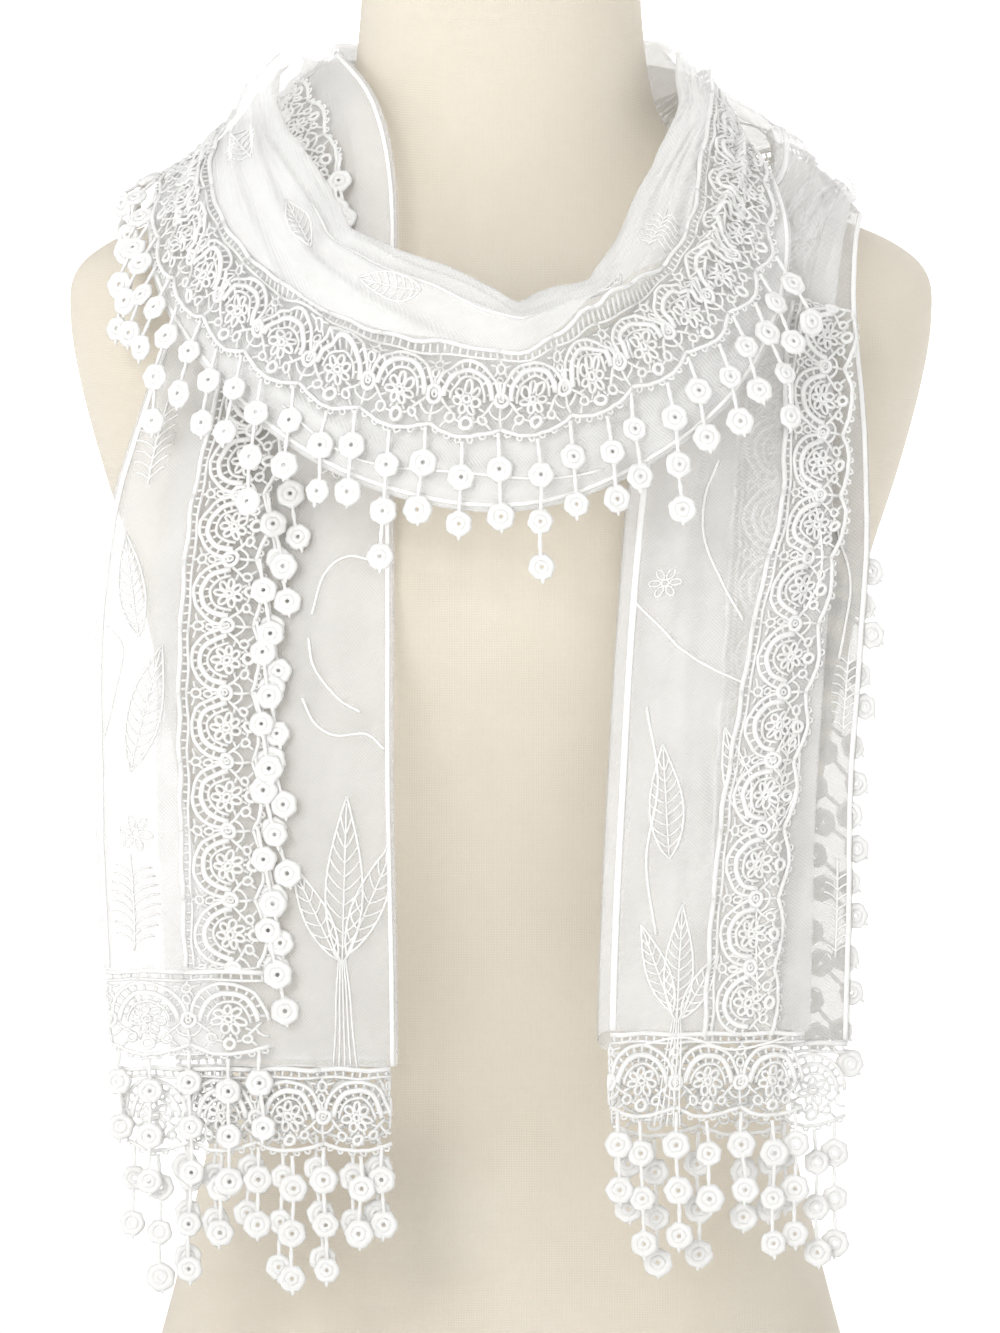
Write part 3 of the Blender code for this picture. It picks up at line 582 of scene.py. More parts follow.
def node_material(name, colour, roughness, sheen):
    """A material whose plain numbers sit on its shader, and the parts needed to build on it."""
    material = bpy.data.materials.new(name)
    material.use_nodes = True
    tree = material.node_tree
    shader = tree.nodes["Principled BSDF"]
    shader.inputs["Base Color"].default_value = colour
    shader.inputs["Roughness"].default_value = roughness
    shader.inputs["Sheen Weight"].default_value = sheen
    shader.inputs["Sheen Roughness"].default_value = 0.4
    return material, tree, shader, add_node(tree, "TexCoord", "Object", {})


def scaled(tree, source, scale, turn=(0.0, 0.0, 0.0)):
    return add_node(tree, "Mapping", "Vector", {"Vector": source, "Scale": scale, "Rotation": turn})


def mixed(tree, factor, first, second):
    return add_node(tree, "Mix", "Result", {"Factor": factor, "A": first, "B": second}, data_type="RGBA")


def noise(tree, source, scale, detail):
    return add_node(tree, "TexNoise", "Fac", {"Vector": source, "Scale": scale, "Detail": detail})


def wave(tree, source, scale, direction, distortion):
    inputs = {"Vector": source, "Scale": scale, "Distortion": distortion, "Detail": 1.0}
    return add_node(tree, "TexWave", "Fac", inputs, wave_type="BANDS", bands_direction=direction)


def added(tree, first, second, operation="ADD"):
    return add_node(tree, "Math", "Value", {0: first, 1: second}, operation=operation)


def clouded(tree, grain, cloud):
    """A grain's tone, stronger where the cloud is dense."""
    return added(tree, added(tree, grain, cloud), cloud, "MULTIPLY")


def bumped(tree, shader, height, strength, distance):
    inputs = {"Strength": strength, "Distance": distance, "Height": height}
    tree.links.new(add_node(tree, "Bump", "Normal", inputs), shader.inputs["Normal"])


def make_linen():
    """Cream linen: crossing threads with slubs, a soft mottle, and a matte nap."""
    material, tree, shader, place = node_material("linen_cover", (0.74, 0.67, 0.56, 1), 0.88, 0.2)
    slubs = noise(tree, scaled(tree, place, (160, 160, 26)), 9.0, 3.0)
    threads = added(tree, wave(tree, place, 420.0, "X", 1.2), wave(tree, place, 420.0, "Z", 1.2))
    mottle = noise(tree, place, 14.0, 2.0)
    tone = clouded(tree, slubs, mottle)
    colour = mixed(tree, tone, (0.71, 0.642, 0.535, 1), (0.765, 0.705, 0.605, 1))
    tree.links.new(colour, shader.inputs["Base Color"])
    bumped(tree, shader, added(tree, threads, slubs), 0.4, 0.0004)
    return material


def make_net(name, alpha, low, high):
    """Sheer cotton net: see-through, with a fine crossing grain and a cloudy tone."""
    material, tree, shader, place = node_material(name, high, 0.8, 0.35)
    shader.inputs["Alpha"].default_value = alpha
    slanted = scaled(tree, place, (1, 1, 1), (0, 0.785, 0.4))
    grain = added(tree, wave(tree, slanted, 300.0, "X", 1.5), wave(tree, slanted, 300.0, "Z", 1.5))
    cloud = noise(tree, place, 46.0, 5.0)
    tone = clouded(tree, grain, cloud)
    tree.links.new(mixed(tree, tone, low, high), shader.inputs["Base Color"])
    crumple = noise(tree, place, 70.0, 5.0)
    bumped(tree, shader, added(tree, grain, crumple), 0.45, 0.0008)
    return material


def make_thread(name, low, high):
    """Soft white cotton thread: fine twisted strands and a slight unevenness of tone."""
    material, tree, shader, place = node_material(name, high, 0.72, 0.4)
    strands = wave(tree, scaled(tree, place, (1, 1, 1), (0.6, 0.4, 0.8)), 700.0, "DIAGONAL", 3.0)
    fuzz = noise(tree, place, 900.0, 3.0)
    tone = noise(tree, place, 160.0, 4.0)
    tree.links.new(mixed(tree, tone, low, high), shader.inputs["Base Color"])
    bumped(tree, shader, added(tree, strands, fuzz), 0.4, 0.0004)
    return material


# Building meshes


def linked(name, data):
    made = bpy.data.objects.new(name, data)
    bpy.context.scene.collection.objects.link(made)
    return made


def mesh_object(name, points, faces, material):
    mesh = bpy.data.meshes.new(name)
    mesh.from_pydata(points, [], faces)
    mesh.materials.append(material)
    mesh.shade_smooth()
    return linked(name, mesh)


class Pile:
    """Points and faces gathered for one piece."""

    def __init__(self):
        self.points, self.faces, self.count = [], [], 0

    def add(self, points, faces):
        """points: n by 3. faces: an m by 3 or m by 4 array of corner numbers."""
        self.points.append(np.asarray(points, float).reshape(-1, 3))
        self.faces.extend((np.asarray(faces) + self.count).tolist())
        self.count += len(self.points[-1])

    def build(self, name, material, slot):
        """A piece that rides on the only body."""
        piece = mesh_object(name, np.concatenate(self.points).tolist(), self.faces, material)
        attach(piece, "root")
        return piece


def grid_faces(rows, columns, wrap_rows=False, wrap_columns=False):
    """Quads over a grid of points numbered row by row."""
    i = np.arange(rows if wrap_rows else rows - 1)
    j = np.arange(columns if wrap_columns else columns - 1)
    i, j = (v.ravel() for v in np.meshgrid(i, j, indexing="ij"))
    after_i, after_j = (i + 1) % rows, (j + 1) % columns
    here, after = i * columns, after_i * columns
    return np.stack((here + j, after + j, after + after_j, here + after_j), axis=1)


def tubes(pile, lines, outs, radius, sides=5, closed=False, flat=0.8):
    """A tube along each line: lines and outs are copies by points by 3; radius may vary by point."""
    if closed:
        tangent = np.roll(lines, -1, axis=1) - np.roll(lines, 1, axis=1)
    else:
        tangent = np.gradient(lines, axis=1)
    tangent = unit(tangent)
    outs = unit(outs - tangent * (tangent * outs).sum(axis=2, keepdims=True))
    side = np.cross(tangent, outs)
    count = lines.shape[1]
    radius = np.broadcast_to(np.asarray(radius, float), (count,))[None, :, None, None]
    angle = (np.arange(sides) / sides * math.tau)[None, None, :, None]
    ring = lines[:, :, None] + radius * (
        np.cos(angle) * side[:, :, None] + np.sin(angle) * flat * outs[:, :, None]
    )
    faces = grid_faces(count, sides, wrap_rows=closed, wrap_columns=True)
    last = (count - 1) * sides
    caps = []
    for k in range(1, sides - 1):
        caps += [(0, k, k + 1), (last, last + k + 1, last + k)]
    for copy in ring:
        first = pile.count
        pile.add(copy, faces)
        if not closed:
            pile.faces.extend((np.array(caps) + first).tolist())


# Pieces


def make_form():
    """The linen-covered form: its loft, finely divided and closed, with edges whose faces meet at over 40
    degrees shaded sharp; it takes the solid's place.
    """
    rings, around = 150, 128
    sections = catmull_rom(FORM_SECTIONS, np.linspace(0, len(FORM_SECTIONS) - 1, rings))
    points = [p for section in sections for p in form_ring(section, around)]
    pile = Pile()
    faces = grid_faces(rings, around, wrap_columns=True)[:, ::-1]
    pile.add(points, faces)
    pile.faces.append(list(range(around))[::-1])
    pile.faces.append([(rings - 1) * around + k for k in range(around)])
    form = pile.build("form_cover", linen, "linen")
    form.data.set_sharp_from_angle(angle=math.radians(40))
    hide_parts("dress_form")


def folded_line(name, l):
    """Points across the folded net at one row: l, w and the layer's level."""
    line = []
    runs = FOLDS[name]
    width = width_at(base, l)
    for index, (start, end, level, pieces, hem) in enumerate(runs):
        here = drawn_up(base, name, l, hem)
        if start is HEADING:
            start = lace_w(base, name, here, 0.0, seam=0.0)[0]
        for k in range(pieces + 1):
            line.append((here, start + (end - start) * k / pieces, level))
        if index + 1 < len(runs):
            next_level, next_hem = runs[index + 1][2], runs[index + 1][4]
            rise = abs(next_level - level) * (LAYER + PUFF[name] * max(0.0, 1.0 - end) ** 2)
            for turn in (-0.67, -0.33, 0.0, 0.33, 0.67):
                angle = turn * math.pi / 2
                mix = (math.sin(angle) + 1) / 2
                reach = end + rise / 2 * math.copysign(1, end - start) * math.cos(angle) / width
                between = drawn_up(base, name, l, hem + (next_hem - hem) * mix)
                line.append((between, reach, level + (next_level - level) * mix))
    return line


def make_net_piece(name, material):
    """One stretch of the net. The right tail's folded-under strip is darker and denser: painted shade,
    and the real density of doubled net.
    """
    start, end = stretch_ends(base, name, FOLDS[name][0][4])
    rows = np.linspace(start, end, max(2, round((end - start) / NET_STEP)) + 1)
    lines = [folded_line(name, l) for l in rows]
    across = len(lines[0])
    l, w, level = np.array(lines).reshape(-1, 3).T
    points = on_cloth(name, level, l, w)
    pile = Pile()
    pile.add(points, grid_faces(len(rows), across))
    piece = pile.build("net_" + name, material, "net")
    # The right tail's middle layers take the darker net: painted shade on that strip, denser where the
    # net lies doubled
    if name == "right_tail":
        piece.data.materials.append(painted_shade_net)
        level = level[:across]
        middle_level = (0.5 < level) & (level < 2.5)
        painted_shade_faces = np.tile(middle_level[:-1] & middle_level[1:], len(rows) - 1)
        piece.data.polygons.foreach_set("material_index", painted_shade_faces.astype(np.int32))
    return piece


def ring_line(cx, cy, rx, ry, count, turn=0.0):
    """An ellipse in millimetres on the lace."""
    a = np.arange(count) / count * math.tau
    x, y = rx * np.cos(a), ry * np.sin(a)
    c, s = math.cos(turn), math.sin(turn)
    return np.stack((cx + x * c - y * s, cy + x * s + y * c), 1)


def arc_line(cx, cy, r, start, end, count, squeeze=1.0):
    a = np.radians(np.linspace(start, end, count))
    return np.stack((cx + r * np.cos(a), cy - r * squeeze * np.sin(a)), 1)


# One repeat of the lace, in millimetres: how long it is and how deep
REPEAT_MM = 31.0
DEPTH_MM = 38.0
# Bars of one repeat of the lace that come in pairs, in millimetres: the line between the two of a
# pair, thread radius, how many points, and the bar's own points
LACE_PAIRS = (
    (0, 0.6, 2, (1.7, 9.8), (3.0, 12.0)),
    (0, 0.6, 2, (2.0, 8.0), (5.6, 7.0)),
    (15.5, 0.75, 5, (3.2, 22.6), (5.6, 25.4), (8.4, 28.2)),
    (15.5, 0.65, 4, (5.4, 25.2), (3.2, 28.4), (0.0, 29.6)),
    (15.5, 0.65, 2, (10.4, 30.8), (13.1, 31.6)),
    (15.5, 0.65, 2, (6.9, 31.4), (4.8, 34.0)),
)


def lace_pattern():
    """One repeat of the lace as threads: (points in mm, thread radius in mm, closed, lift in mm)."""
    threads = []

    def put(points, radius, closed=False, lift=0.3):
        threads.append((points, radius, closed, lift))

    def bar(*points, radius=0.65, count=2, lift=0.3):
        put(catmull_rom(points, np.linspace(0, len(points) - 1, count)), radius, lift=lift)

    # the heading: a firm cord, then a narrow ladder
    bar((0, 1.0), (REPEAT_MM, 1.0), radius=1.2, count=7, lift=0.6)
    bar((0, 4.6), (REPEAT_MM, 4.6), radius=0.75, count=7)
    for k in range(8):
        x = REPEAT_MM * (k + 0.5) / 8
        bar((x, 1.6), (x, 4.4), lift=0.15)
    # the fan: arcs that bulge towards the heading with spokes between them
    cx, cy = 15.5, 22.4
    put(arc_line(cx, cy, 14.8, 2, 178, 17, 1.1), 0.95)
    put(arc_line(cx, cy, 11.0, 0, 180, 15, 1.12), 1.35, lift=0.6)
    put(arc_line(cx, cy, 7.9, -4, 184, 13, 1.1), 0.8)
    rows = (11, 10, 160, 11.2, 14.6, 0.7), (8, 14, 152, 8, 10.8, 0.65)
    for count, start, sweep, inner, outer, radius in rows:
        for k in range(count):
            a = math.radians(start + sweep * k / (count - 1))
            c, s = math.cos(a), 1.11 * math.sin(a)
            spoke = [(cx + r * c, cy - r * s) for r in (inner, outer)]
            bar(*spoke, radius=radius, lift=0.15)
    # the corner between two fans: two small rings and their bars
    put(ring_line(0, 8.6, 2.0, 2.0, 9), 0.75, True)
    put(ring_line(0, 13.6, 1.5, 1.9, 8), 0.7, True)
    bar((0, 4.6), (0, 6.6))
    bar((0, 15.4), (0, 18.8), radius=0.7)
    # the flower under the fan: a crowned ring and its petals
    put(ring_line(cx, 22.0, 1.4, 1.4, 8), 0.85, True, 0.8)
    for k in range(7):
        a = math.tau * k / 7 + 0.2
        put(ring_line(cx + 4.4 * math.cos(a), 22 + 4.4 * math.sin(a), 2.2, 1.5, 8, a), 0.8, True, 0.55)
    for k in range(4):
        a = math.radians(28 + 124 * k / 3)
        c, s = math.cos(a), math.sin(a)
        bar((cx + 6.6 * c, 22 + 6.6 * s), (cx + 9.6 * c, 22 + 9.0 * s), lift=0.15)
    # below: rings where two fans meet, mesh bars, and the scalloped edge with its picots
    put(ring_line(0, 22.0, 3.0, 3.0, 11), 1.1, True, 0.6)
    put(ring_line(0, 22.0, 1.1, 1.1, 6), 0.7, True, 0.7)
    bar((0, 25.2), (0, 32.6), radius=0.75, count=3)
    for x in (8.4, 22.6):
        put(ring_line(x, 30.2, 1.9, 1.9, 8), 0.8, True, 0.45)
    put(ring_line(cx, 32.2, 2.3, 2.3, 9), 1.0, True, 0.6)
    bar((cx, 28.0), (cx, 29.6), radius=0.7)
    for axis, radius, count, *points in LACE_PAIRS:
        bar(*points, radius=radius, count=count)
        bar(*((2 * axis - x, y) for x, y in points), radius=radius, count=count)
    edge_x = np.linspace(0, REPEAT_MM, 13)
    edge_y = 33.4 + 3.8 * np.sin(edge_x / REPEAT_MM * math.pi)
    put(np.stack((edge_x, edge_y), 1), 1.0, lift=0.45)
    for k in range(6):
        x = REPEAT_MM * (k + 0.5) / 6
        put(ring_line(x, 34.6 + 3.8 * math.sin(x / REPEAT_MM * math.pi), 1.25, 1.05, 6), 0.55, True)
    return threads


def lace_on(pile, repeats, to_cloth):
    """Threads of every repeat, a little uneven. to_cloth(u, v, lift) gives points and facings."""
    for points, radius, closed, lift in lace_pattern():
        count = len(points)
        x = np.arange(repeats)[:, None] * REPEAT_MM + points[None, :, 0]
        y = np.broadcast_to(points[None, :, 1], x.shape)
        uneven_x = 0.35 * np.sin(x * 0.19 + y * 0.43) + 0.15 * np.sin(x * 0.71 + 1.0)
        uneven_y = 0.4 * np.sin(x * 0.23 + y * 0.31) + 0.15 * np.sin(x * 0.93 + 2.0)
        u, v = (x + uneven_x) / REPEAT_MM, (y + uneven_y) / DEPTH_MM
        places, outs = to_cloth(u.ravel(), v.ravel(), lift / 1000)
        places, outs = (v.reshape(repeats, count, 3) for v in (places, outs))
        tubes(pile, places, outs, radius / 1000, 5 if radius > 0.85 else 4, closed, flat=0.75)


def medallion(pile, centre, way, out, size=1.0, turn=0.0):
    """A crocheted rosette: a lobed ring round a raised ring with a pinhole in the middle."""
    side = unit(np.cross(way, out))
    rings = ((0.0039, 0.0016, 0.0, 24, 6, 0.1), (0.0018, 0.0012, 0.0005, 12, 5, 0.12))
    for mid, thick, lift, around, petals, lobe in rings:
        a = np.arange(around) / around * math.tau
        b = np.arange(5) / 5 * math.tau
        swell = 1 + lobe * np.cos(petals * a + turn) + 0.5 * lobe * np.cos((petals + 3) * a + 2 * turn)
        radial = np.cos(a)[:, None] * side + np.sin(a)[:, None] * way
        r = size * (mid * (1 + 0.25 * (swell - 1)) + thick * swell * np.cos(b)[:, None]).T
        h = size * (thick * 0.8 * swell * np.sin(b)[:, None] + lift).T
        points = centre + radial[:, None, :] * r[:, :, None] + out * h[:, :, None]
        pile.add(points.reshape(-1, 3), grid_faces(around, 5, wrap_rows=True, wrap_columns=True))


def pendant(pile, line, count, shift):
    """Threads and rosettes down one pendant's line, each hung a little differently."""
    step = RING_PITCH / 2
    outs = np.array([o for _, _, o in line])
    ways = np.array([w for _, w, _ in line])
    sides = unit(np.cross(ways, outs))
    sway = chance.uniform(-0.0022, 0.0022)
    bend = chance.uniform(-0.001, 0.001)
    down = np.arange(len(line)) / (len(line) - 1)
    centres = np.array([p for p, _, _ in line]) + shift
    centres = centres + sides * (sway * down + bend * np.sin(down * math.tau))[:, None]

    def at(distance):
        place = min(max(distance / step, 0.0), len(line) - 1.001)
        k = int(place)
        part = place - k
        return centres[k] * (1 - part) + centres[k + 1] * part, ways[k], outs[k]

    for k in range(count):
        start = RING_PITCH * k - 0.0012
        stop = RING_PITCH * (k + 1) - RING_ACROSS + 0.0012
        stops = np.linspace(start, stop, 5)
        points = np.array([at(d)[0] for d in stops])
        facings = np.array([at(d)[2] for d in stops])
        girth = np.array((0.0012, 0.0008, 0.0011, 0.0008, 0.0012))
        tubes(pile, points[None], facings[None], girth, sides=5, flat=0.9)
        centre, way, out = at(RING_PITCH * (k + 1) - RING_ACROSS / 2)
        tilt = chance.uniform(-0.16, 0.16)
        out = unit(out + tilt * unit(np.cross(way, out)))
        medallion(pile, centre, way, out, chance.uniform(1.02, 1.2), turn=chance.uniform(0, 6))
    end, way, out = at(RING_PITCH * count)
    tip = np.array([end - way * 0.001, end + way * 0.0006, end + way * 0.002])
    tubes(pile, tip[None], np.array([out] * 3)[None], np.array((0.0011, 0.0009, 0.0004)), sides=5)


def lace_piece(pile, name, node=None):
    """A piece of lace thread, which replaces its solid if there is one."""
    piece = pile.build(name, lace_thread, "lace")
    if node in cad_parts:
        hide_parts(node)
    return piece


def lace_band(name, repeats, to_cloth):
    pile = Pile()
    lace_on(pile, repeats, to_cloth)
    return lace_piece(pile, name + "_threads", name + "_lace")


# Edges whose pendants hang more steeply than the solids' strands, one row of chains on the other
HANGING = {"left_edge": 0.82}
# How many more repeats of an edge's lace go in under the cloth where the edge starts
TUCKED = {"cowl_edge": 2}


def edge_piece(name, stretch, level, first, droop, hangs_free, rings, bare):
    """The lace band and the pendants along one stretch's long edge."""
    droop = HANGING.get(name, droop)
    rows = lace_rows(base, stretch)
    under = TUCKED.get(name, 0)
    rows = np.concatenate((rows[0] - (rows[1] - rows[0]) * np.arange(under, 0, -1), rows))
    whole = len(rows) - 1

    def to_cloth(u, v, lift):
        l = np.interp(np.clip(u, 0, whole), np.arange(whole + 1), rows)
        w = lace_w(base, stretch, l, v)
        sunk = np.clip(1 - u / max(under, 1), 0, 1) * min(under, 1) * 0.004
        return on_cloth(stretch, level, l, w, lift - sunk), facing(base, l, w)

    band = lace_band(name, whole, to_cloth)
    pile = Pile()
    rows = rows[under + first :]
    repeats = len(rows) - 1
    for k in range(repeats):
        for part, reach, lengths in ((0.03, 0.93, (2,)), (0.5, 1.03, rings)):
            if k in bare or (part < 0.1 and (k == 0 or k - 1 in bare)):
                continue
            u = np.array([k + part + chance.uniform(-0.04, 0.04)])
            l = np.interp(u, np.arange(repeats + 1), rows)
            w = lace_w(base, stretch, l, reach)
            count = lengths[k % len(lengths)]
            line = hanging_line(base, stretch, l[0], w[0], level, droop, hangs_free, count)
            rise = heights(stretch, level, l, w)[0] - height_at(base, stretch, level, l[0], w[0])
            if name in HANGING:
                rise += 0.0016 if part < 0.1 else -0.0004
            pendant(pile, line, count, line[0][2] * rise)
    return band, lace_piece(pile, name + "_drops", name + "_fringe")


# Laces across the ends of the rear layers, which the solids leave out
REAR_LACES = (
    ("left_end_rear", "left_tail", 0.02, 0.78, 0, 0.06, (2, 3)),
    ("right_end_rear", "right_tail", 0.02, 0.74, 0, 0.07, (3, 2)),
)


def end_piece(name, stretch, start, end, level, hem, rings):
    """The lace band and the pendants across one layer's end."""
    _, last = base["bounds"][stretch]
    at_start = stretch == ROUTE[0]
    hem_at = hem if at_start else last - hem
    repeats = max(1, round(abs(end - start) * width_at(base, hem_at) / LACE_REPEAT))

    def to_cloth(u, v, lift):
        w = start + (end - start) * np.clip(u, 0, repeats) / repeats
        below = hem - SEAM_GAP - v * LACE_DEPTH
        l = below if at_start else last - below
        rise = heights(stretch, level, np.full(len(w), hem_at), w)
        return on_base(base, l, w, rise + lift), facing(base, l, w)

    band = lace_band(name, repeats, to_cloth)
    pile = Pile()
    out = np.array((0.0, -1.0, 0.0))
    for k in range(2 * repeats + 1):
        u = min(max(k / 2, 0.12), repeats - 0.12) + chance.uniform(-0.04, 0.04)
        v = 1.03 if k % 2 else 0.93
        root = to_cloth(np.array([u]), np.array([v]), 0.0006)[0][0]
        count = rings[(k // 2) % len(rings)] if k % 2 else 2 + (k // 2) % 2
        line = [(root + DOWN * RING_PITCH / 2 * i, DOWN, out) for i in range(2 * count + 1)]
        pendant(pile, line, count, 0.0)
    return band, lace_piece(pile, name + "_drops", name + "_fringe")


# The lace of the folded-under edge, which shows through the layer over it: how much of its depth it
# keeps, and its heading as (s, w)
DRAWN_IN = 0.86
FOLD_LACE = (
    (0.26, 0.53), (0.36, 0.575), (0.44, 0.575), (0.52, 0.505),
    (0.6, 0.46), (0.68, 0.413), (0.76, 0.388), (0.862, 0.372),
)


def fold_piece(name, stretch, level, route, repeats):
    """A lace band down a stretch under its outermost layer, along the heading line route."""
    route = np.array(route)

    def to_cloth(u, v, lift):
        u = np.clip(u, 0, repeats) / repeats
        s = route[0, 0] + (route[-1, 0] - route[0, 0]) * u
        l = along_at(stretch, s)
        w = np.interp(s, route[:, 0], route[:, 1]) + v * LACE_DEPTH * DRAWN_IN / widths_of(base, l)
        return on_cloth(stretch, level, l, w, lift + OFF_NET), facing(base, l, w)

    return lace_band(name, repeats, to_cloth)


# Embroidery: cords couched on the net. Each motif is drawn flat in millimetres, x across the
# cloth towards the outer rail and y up along it, then laid on a layer


def turned(points, angle, x=0.0, y=0.0):
    """Flat points turned by angle degrees, then moved by x and y."""
    c, s = math.cos(math.radians(angle)), math.sin(math.radians(angle))
    px, py = points.T
    return np.stack((x + px * c - py * s, y + px * s + py * c), 1)


def leaf(length, width, veins, angle=0.0, x=0.0, y=0.0):
    """A pointed leaf: two edges, a rib, and slanted veins between them."""
    t = np.linspace(0, 1, 13)
    half = width * np.sin(math.pi * t**0.8)
    lines = []

    def put(points, radius):
        lines.append((turned(points, angle, x, y), radius, False))

    put(np.stack((half, length * t), 1), 0.55)
    put(np.stack((-half, length * t), 1), 0.55)
    put(np.stack((0 * t, length * 0.96 * t), 1), 0.45)
    for k in range(veins):
        low = 0.1 + 0.76 * k / veins
        high = low + 0.11
        reach = width * math.sin(math.pi * high**0.8)
        for hand in (-1, 1):
            out = hand * reach
            vein = (0, length * low), (out * 0.6, length * (low + 0.05)), (out, length * high)
            put(catmull_rom(vein, np.linspace(0, 2, 4)), 0.42)
    return lines


def palmette(length, width):
    """Three leaves that spread from a bundle of stems."""
    lines = leaf(length, width, 9, 3, 0, 0)
    lines += leaf(length * 0.8, width * 0.8, 7, 24, -2, 4)
    lines += leaf(length * 0.62, width * 0.7, 6, -24, 2, 2)
    for k in range(5):
        x = 1.9 * (k - 2)
        stem = (x * 0.4, 2.0), (x * 0.8, -14.0), (x, -30.0), (x * 1.4, -46.0)
        lines.append((catmull_rom(stem, np.linspace(0, 3, 9)), 0.45, False))
    return lines


def fern(length, leaflets, spread, bend):
    """A bent rib with long narrow leaflets on both sides."""
    t = np.linspace(0, 1, 14)
    lines = [(np.stack((bend * t**2, length * t), 1), 0.55, False)]
    for k in range(leaflets):
        at = 0.06 + 0.82 * k / leaflets
        size = spread * math.sin(math.pi * (0.22 + 0.7 * at)) + 2.0
        for hand in (-1, 1):
            s = np.linspace(0, 1, 5)
            rise = size * 0.55 * s**0.8 + size * 0.1 * np.sin(math.pi * s)
            blade = np.stack((hand * size * s, rise), 1)
            lines.append((blade + (bend * at**2, length * at), 0.45, False))
    return lines


def daisy(radius, petals):
    """A small ring with loop petals."""
    lines = [(ring_line(0, 0, radius * 0.22, radius * 0.22, 8), 0.5, True)]
    for k in range(petals):
        a = math.tau * k / petals
        x, y = radius * 0.62 * math.cos(a), radius * 0.62 * math.sin(a)
        lines.append((ring_line(x, y, radius * 0.36, radius * 0.2, 9, a), 0.42, True))
    return lines


def couched(pile, name, level, l, w, above, radius, **look):
    """A thread laid on a layer, raised by above."""
    places = on_cloth(name, level, l, w, above)
    tubes(pile, places[None], facing(base, l, w)[None], radius, **look)


def lay(pile, name, level, s, w, turn, lines):
    """Lays a flat motif on a layer, with its origin at s and w, turned by turn degrees."""
    start, end = base["bounds"][name]
    l0 = along_at(name, s)
    width = width_at(base, l0)
    up = -1 if name == "right_tail" else 1
    for points, radius, closed in lines:
        laid = turned(points, turn) / 1000
        l = l0 + up * laid[:, 1]
        across = np.clip(w + laid[:, 0] / width, 0.012, 0.985)
        if l.min() <= start or l.max() >= end:
            continue
        above = OFF_NET + radius / 2000
        couched(pile, name, level, l, across, above, radius / 1000, sides=4, closed=closed)


def cord_along(pile, name, level, route, radius=0.0006):
    """A couched cord along a smooth route of (s, w) points."""
    s, w = catmull_rom(route, np.linspace(0, len(route) - 1, 9 * (len(route) - 1) + 1)).T
    couched(pile, name, level, along_at(name, s), w, OFF_NET + radius / 2, radius)


# The motifs on each stretch: level, s, w, turn in degrees, motif
MOTIFS = {
    "left_tail": (
        (1, 0.185, 0.175, 0, palmette(74, 8.0)), (1, 0.6, 0.2, 20, daisy(8, 6)),
        (2, 0.34, 0.87, 14, leaf(58, 7.5, 9)), (2, 0.45, 0.84, -14, leaf(50, 6.5, 8)),
        (2, 0.29, 0.86, 10, daisy(8, 6)), (2, 0.195, 0.88, 4, fern(42, 8, 9, 3)),
        (2, 0.58, 0.88, -6, fern(40, 7, 8, -3)),
    ),
    "cowl": (
        (2, 0.58, 0.2, -4, leaf(34, 4.0, 6)), (2, 0.7, 0.24, 6, leaf(36, 5.0, 6)),
        (2, 0.4, 0.17, 176, leaf(30, 4.0, 5)), (2, 0.84, 0.26, -12, fern(30, 6, 6, 2)),
        (2, 0.3, 0.2, 186, fern(30, 6, 5, 2)),
    ),
    "nape_outer": (
        (1, 0.14, 0.24, 0, fern(44, 8, 8, 3)), (1, 0.5, 0.24, 0, daisy(9, 6)),
        (1, 0.62, 0.24, 0, fern(44, 8, 8, -3)),
    ),
    "nape_inner": (
        (1, 0.16, 0.3, 0, fern(34, 6, 6, 2)), (1, 0.6, 0.3, 0, fern(34, 6, 6, -2)),
    ),
    "right_tail": (
        (3, 0.72, 0.22, 6, leaf(50, 7.0, 8)), (3, 0.7, 0.62, -10, leaf(52, 7.0, 8)),
        (3, 0.69, 0.52, 16, leaf(42, 5.5, 7)), (3, 0.85, 0.27, -4, palmette(52, 6.0)),
        (3, 0.85, 0.6, 6, fern(56, 9, 10, 3)), (3, 0.5, 0.14, 0, daisy(7, 6)),
        (1, 0.62, 0.93, 2, fern(40, 8, 5, 2)), (1, 0.8, 0.93, -2, fern(44, 8, 5, -2)),
    ),
}
# Long couched cords: level, then the route as (s, w)
CORDS = {
    "left_tail": (
        (1, ((0.47, 0.26), (0.505, 0.22), (0.52, 0.14), (0.515, 0.03))),
        (1, ((0.45, 0.27), (0.425, 0.25), (0.4, 0.17), (0.39, 0.1))),
        (1, ((0.4, 0.29), (0.38, 0.25), (0.37, 0.18), (0.372, 0.08), (0.36, 0.02))),
        (2, ((0.46, 0.96), (0.44, 0.9), (0.4, 0.93), (0.37, 0.97))),
    ),
    "cowl": (
        (2, ((0.44, 0.14), (0.52, 0.2), (0.62, 0.14), (0.74, 0.12))),
        (1, ((0.44, 0.93), (0.52, 0.86), (0.6, 0.92), (0.66, 0.88))),
    ),
    "nape_outer": ((1, ((0.1, 0.34), (0.3, 0.2), (0.5, 0.34), (0.7, 0.2), (0.9, 0.32))),),
    "nape_inner": ((1, ((0.05, 0.44), (0.3, 0.36), (0.6, 0.46), (0.95, 0.36))),),
    "right_tail": (
        (3, ((0.513, 0.02), (0.535, 0.13), (0.556, 0.23), (0.572, 0.36), (0.581, 0.47))),
        (3, ((0.4, 0.31), (0.43, 0.27), (0.463, 0.28), (0.5, 0.36), (0.531, 0.46))),
        (3, ((0.41, 0.66), (0.44, 0.74), (0.49, 0.77), (0.525, 0.7), (0.54, 0.6))),
        (3, ((0.6, 0.1), (0.66, 0.16), (0.72, 0.13), (0.78, 0.18))),
        (3, ((0.87, 0.1), (0.862, 0.3), (0.872, 0.5), (0.862, 0.72))),
        (1, ((0.4, 0.8), (0.46, 0.86), (0.5, 0.92), (0.56, 0.88))),
    ),
}


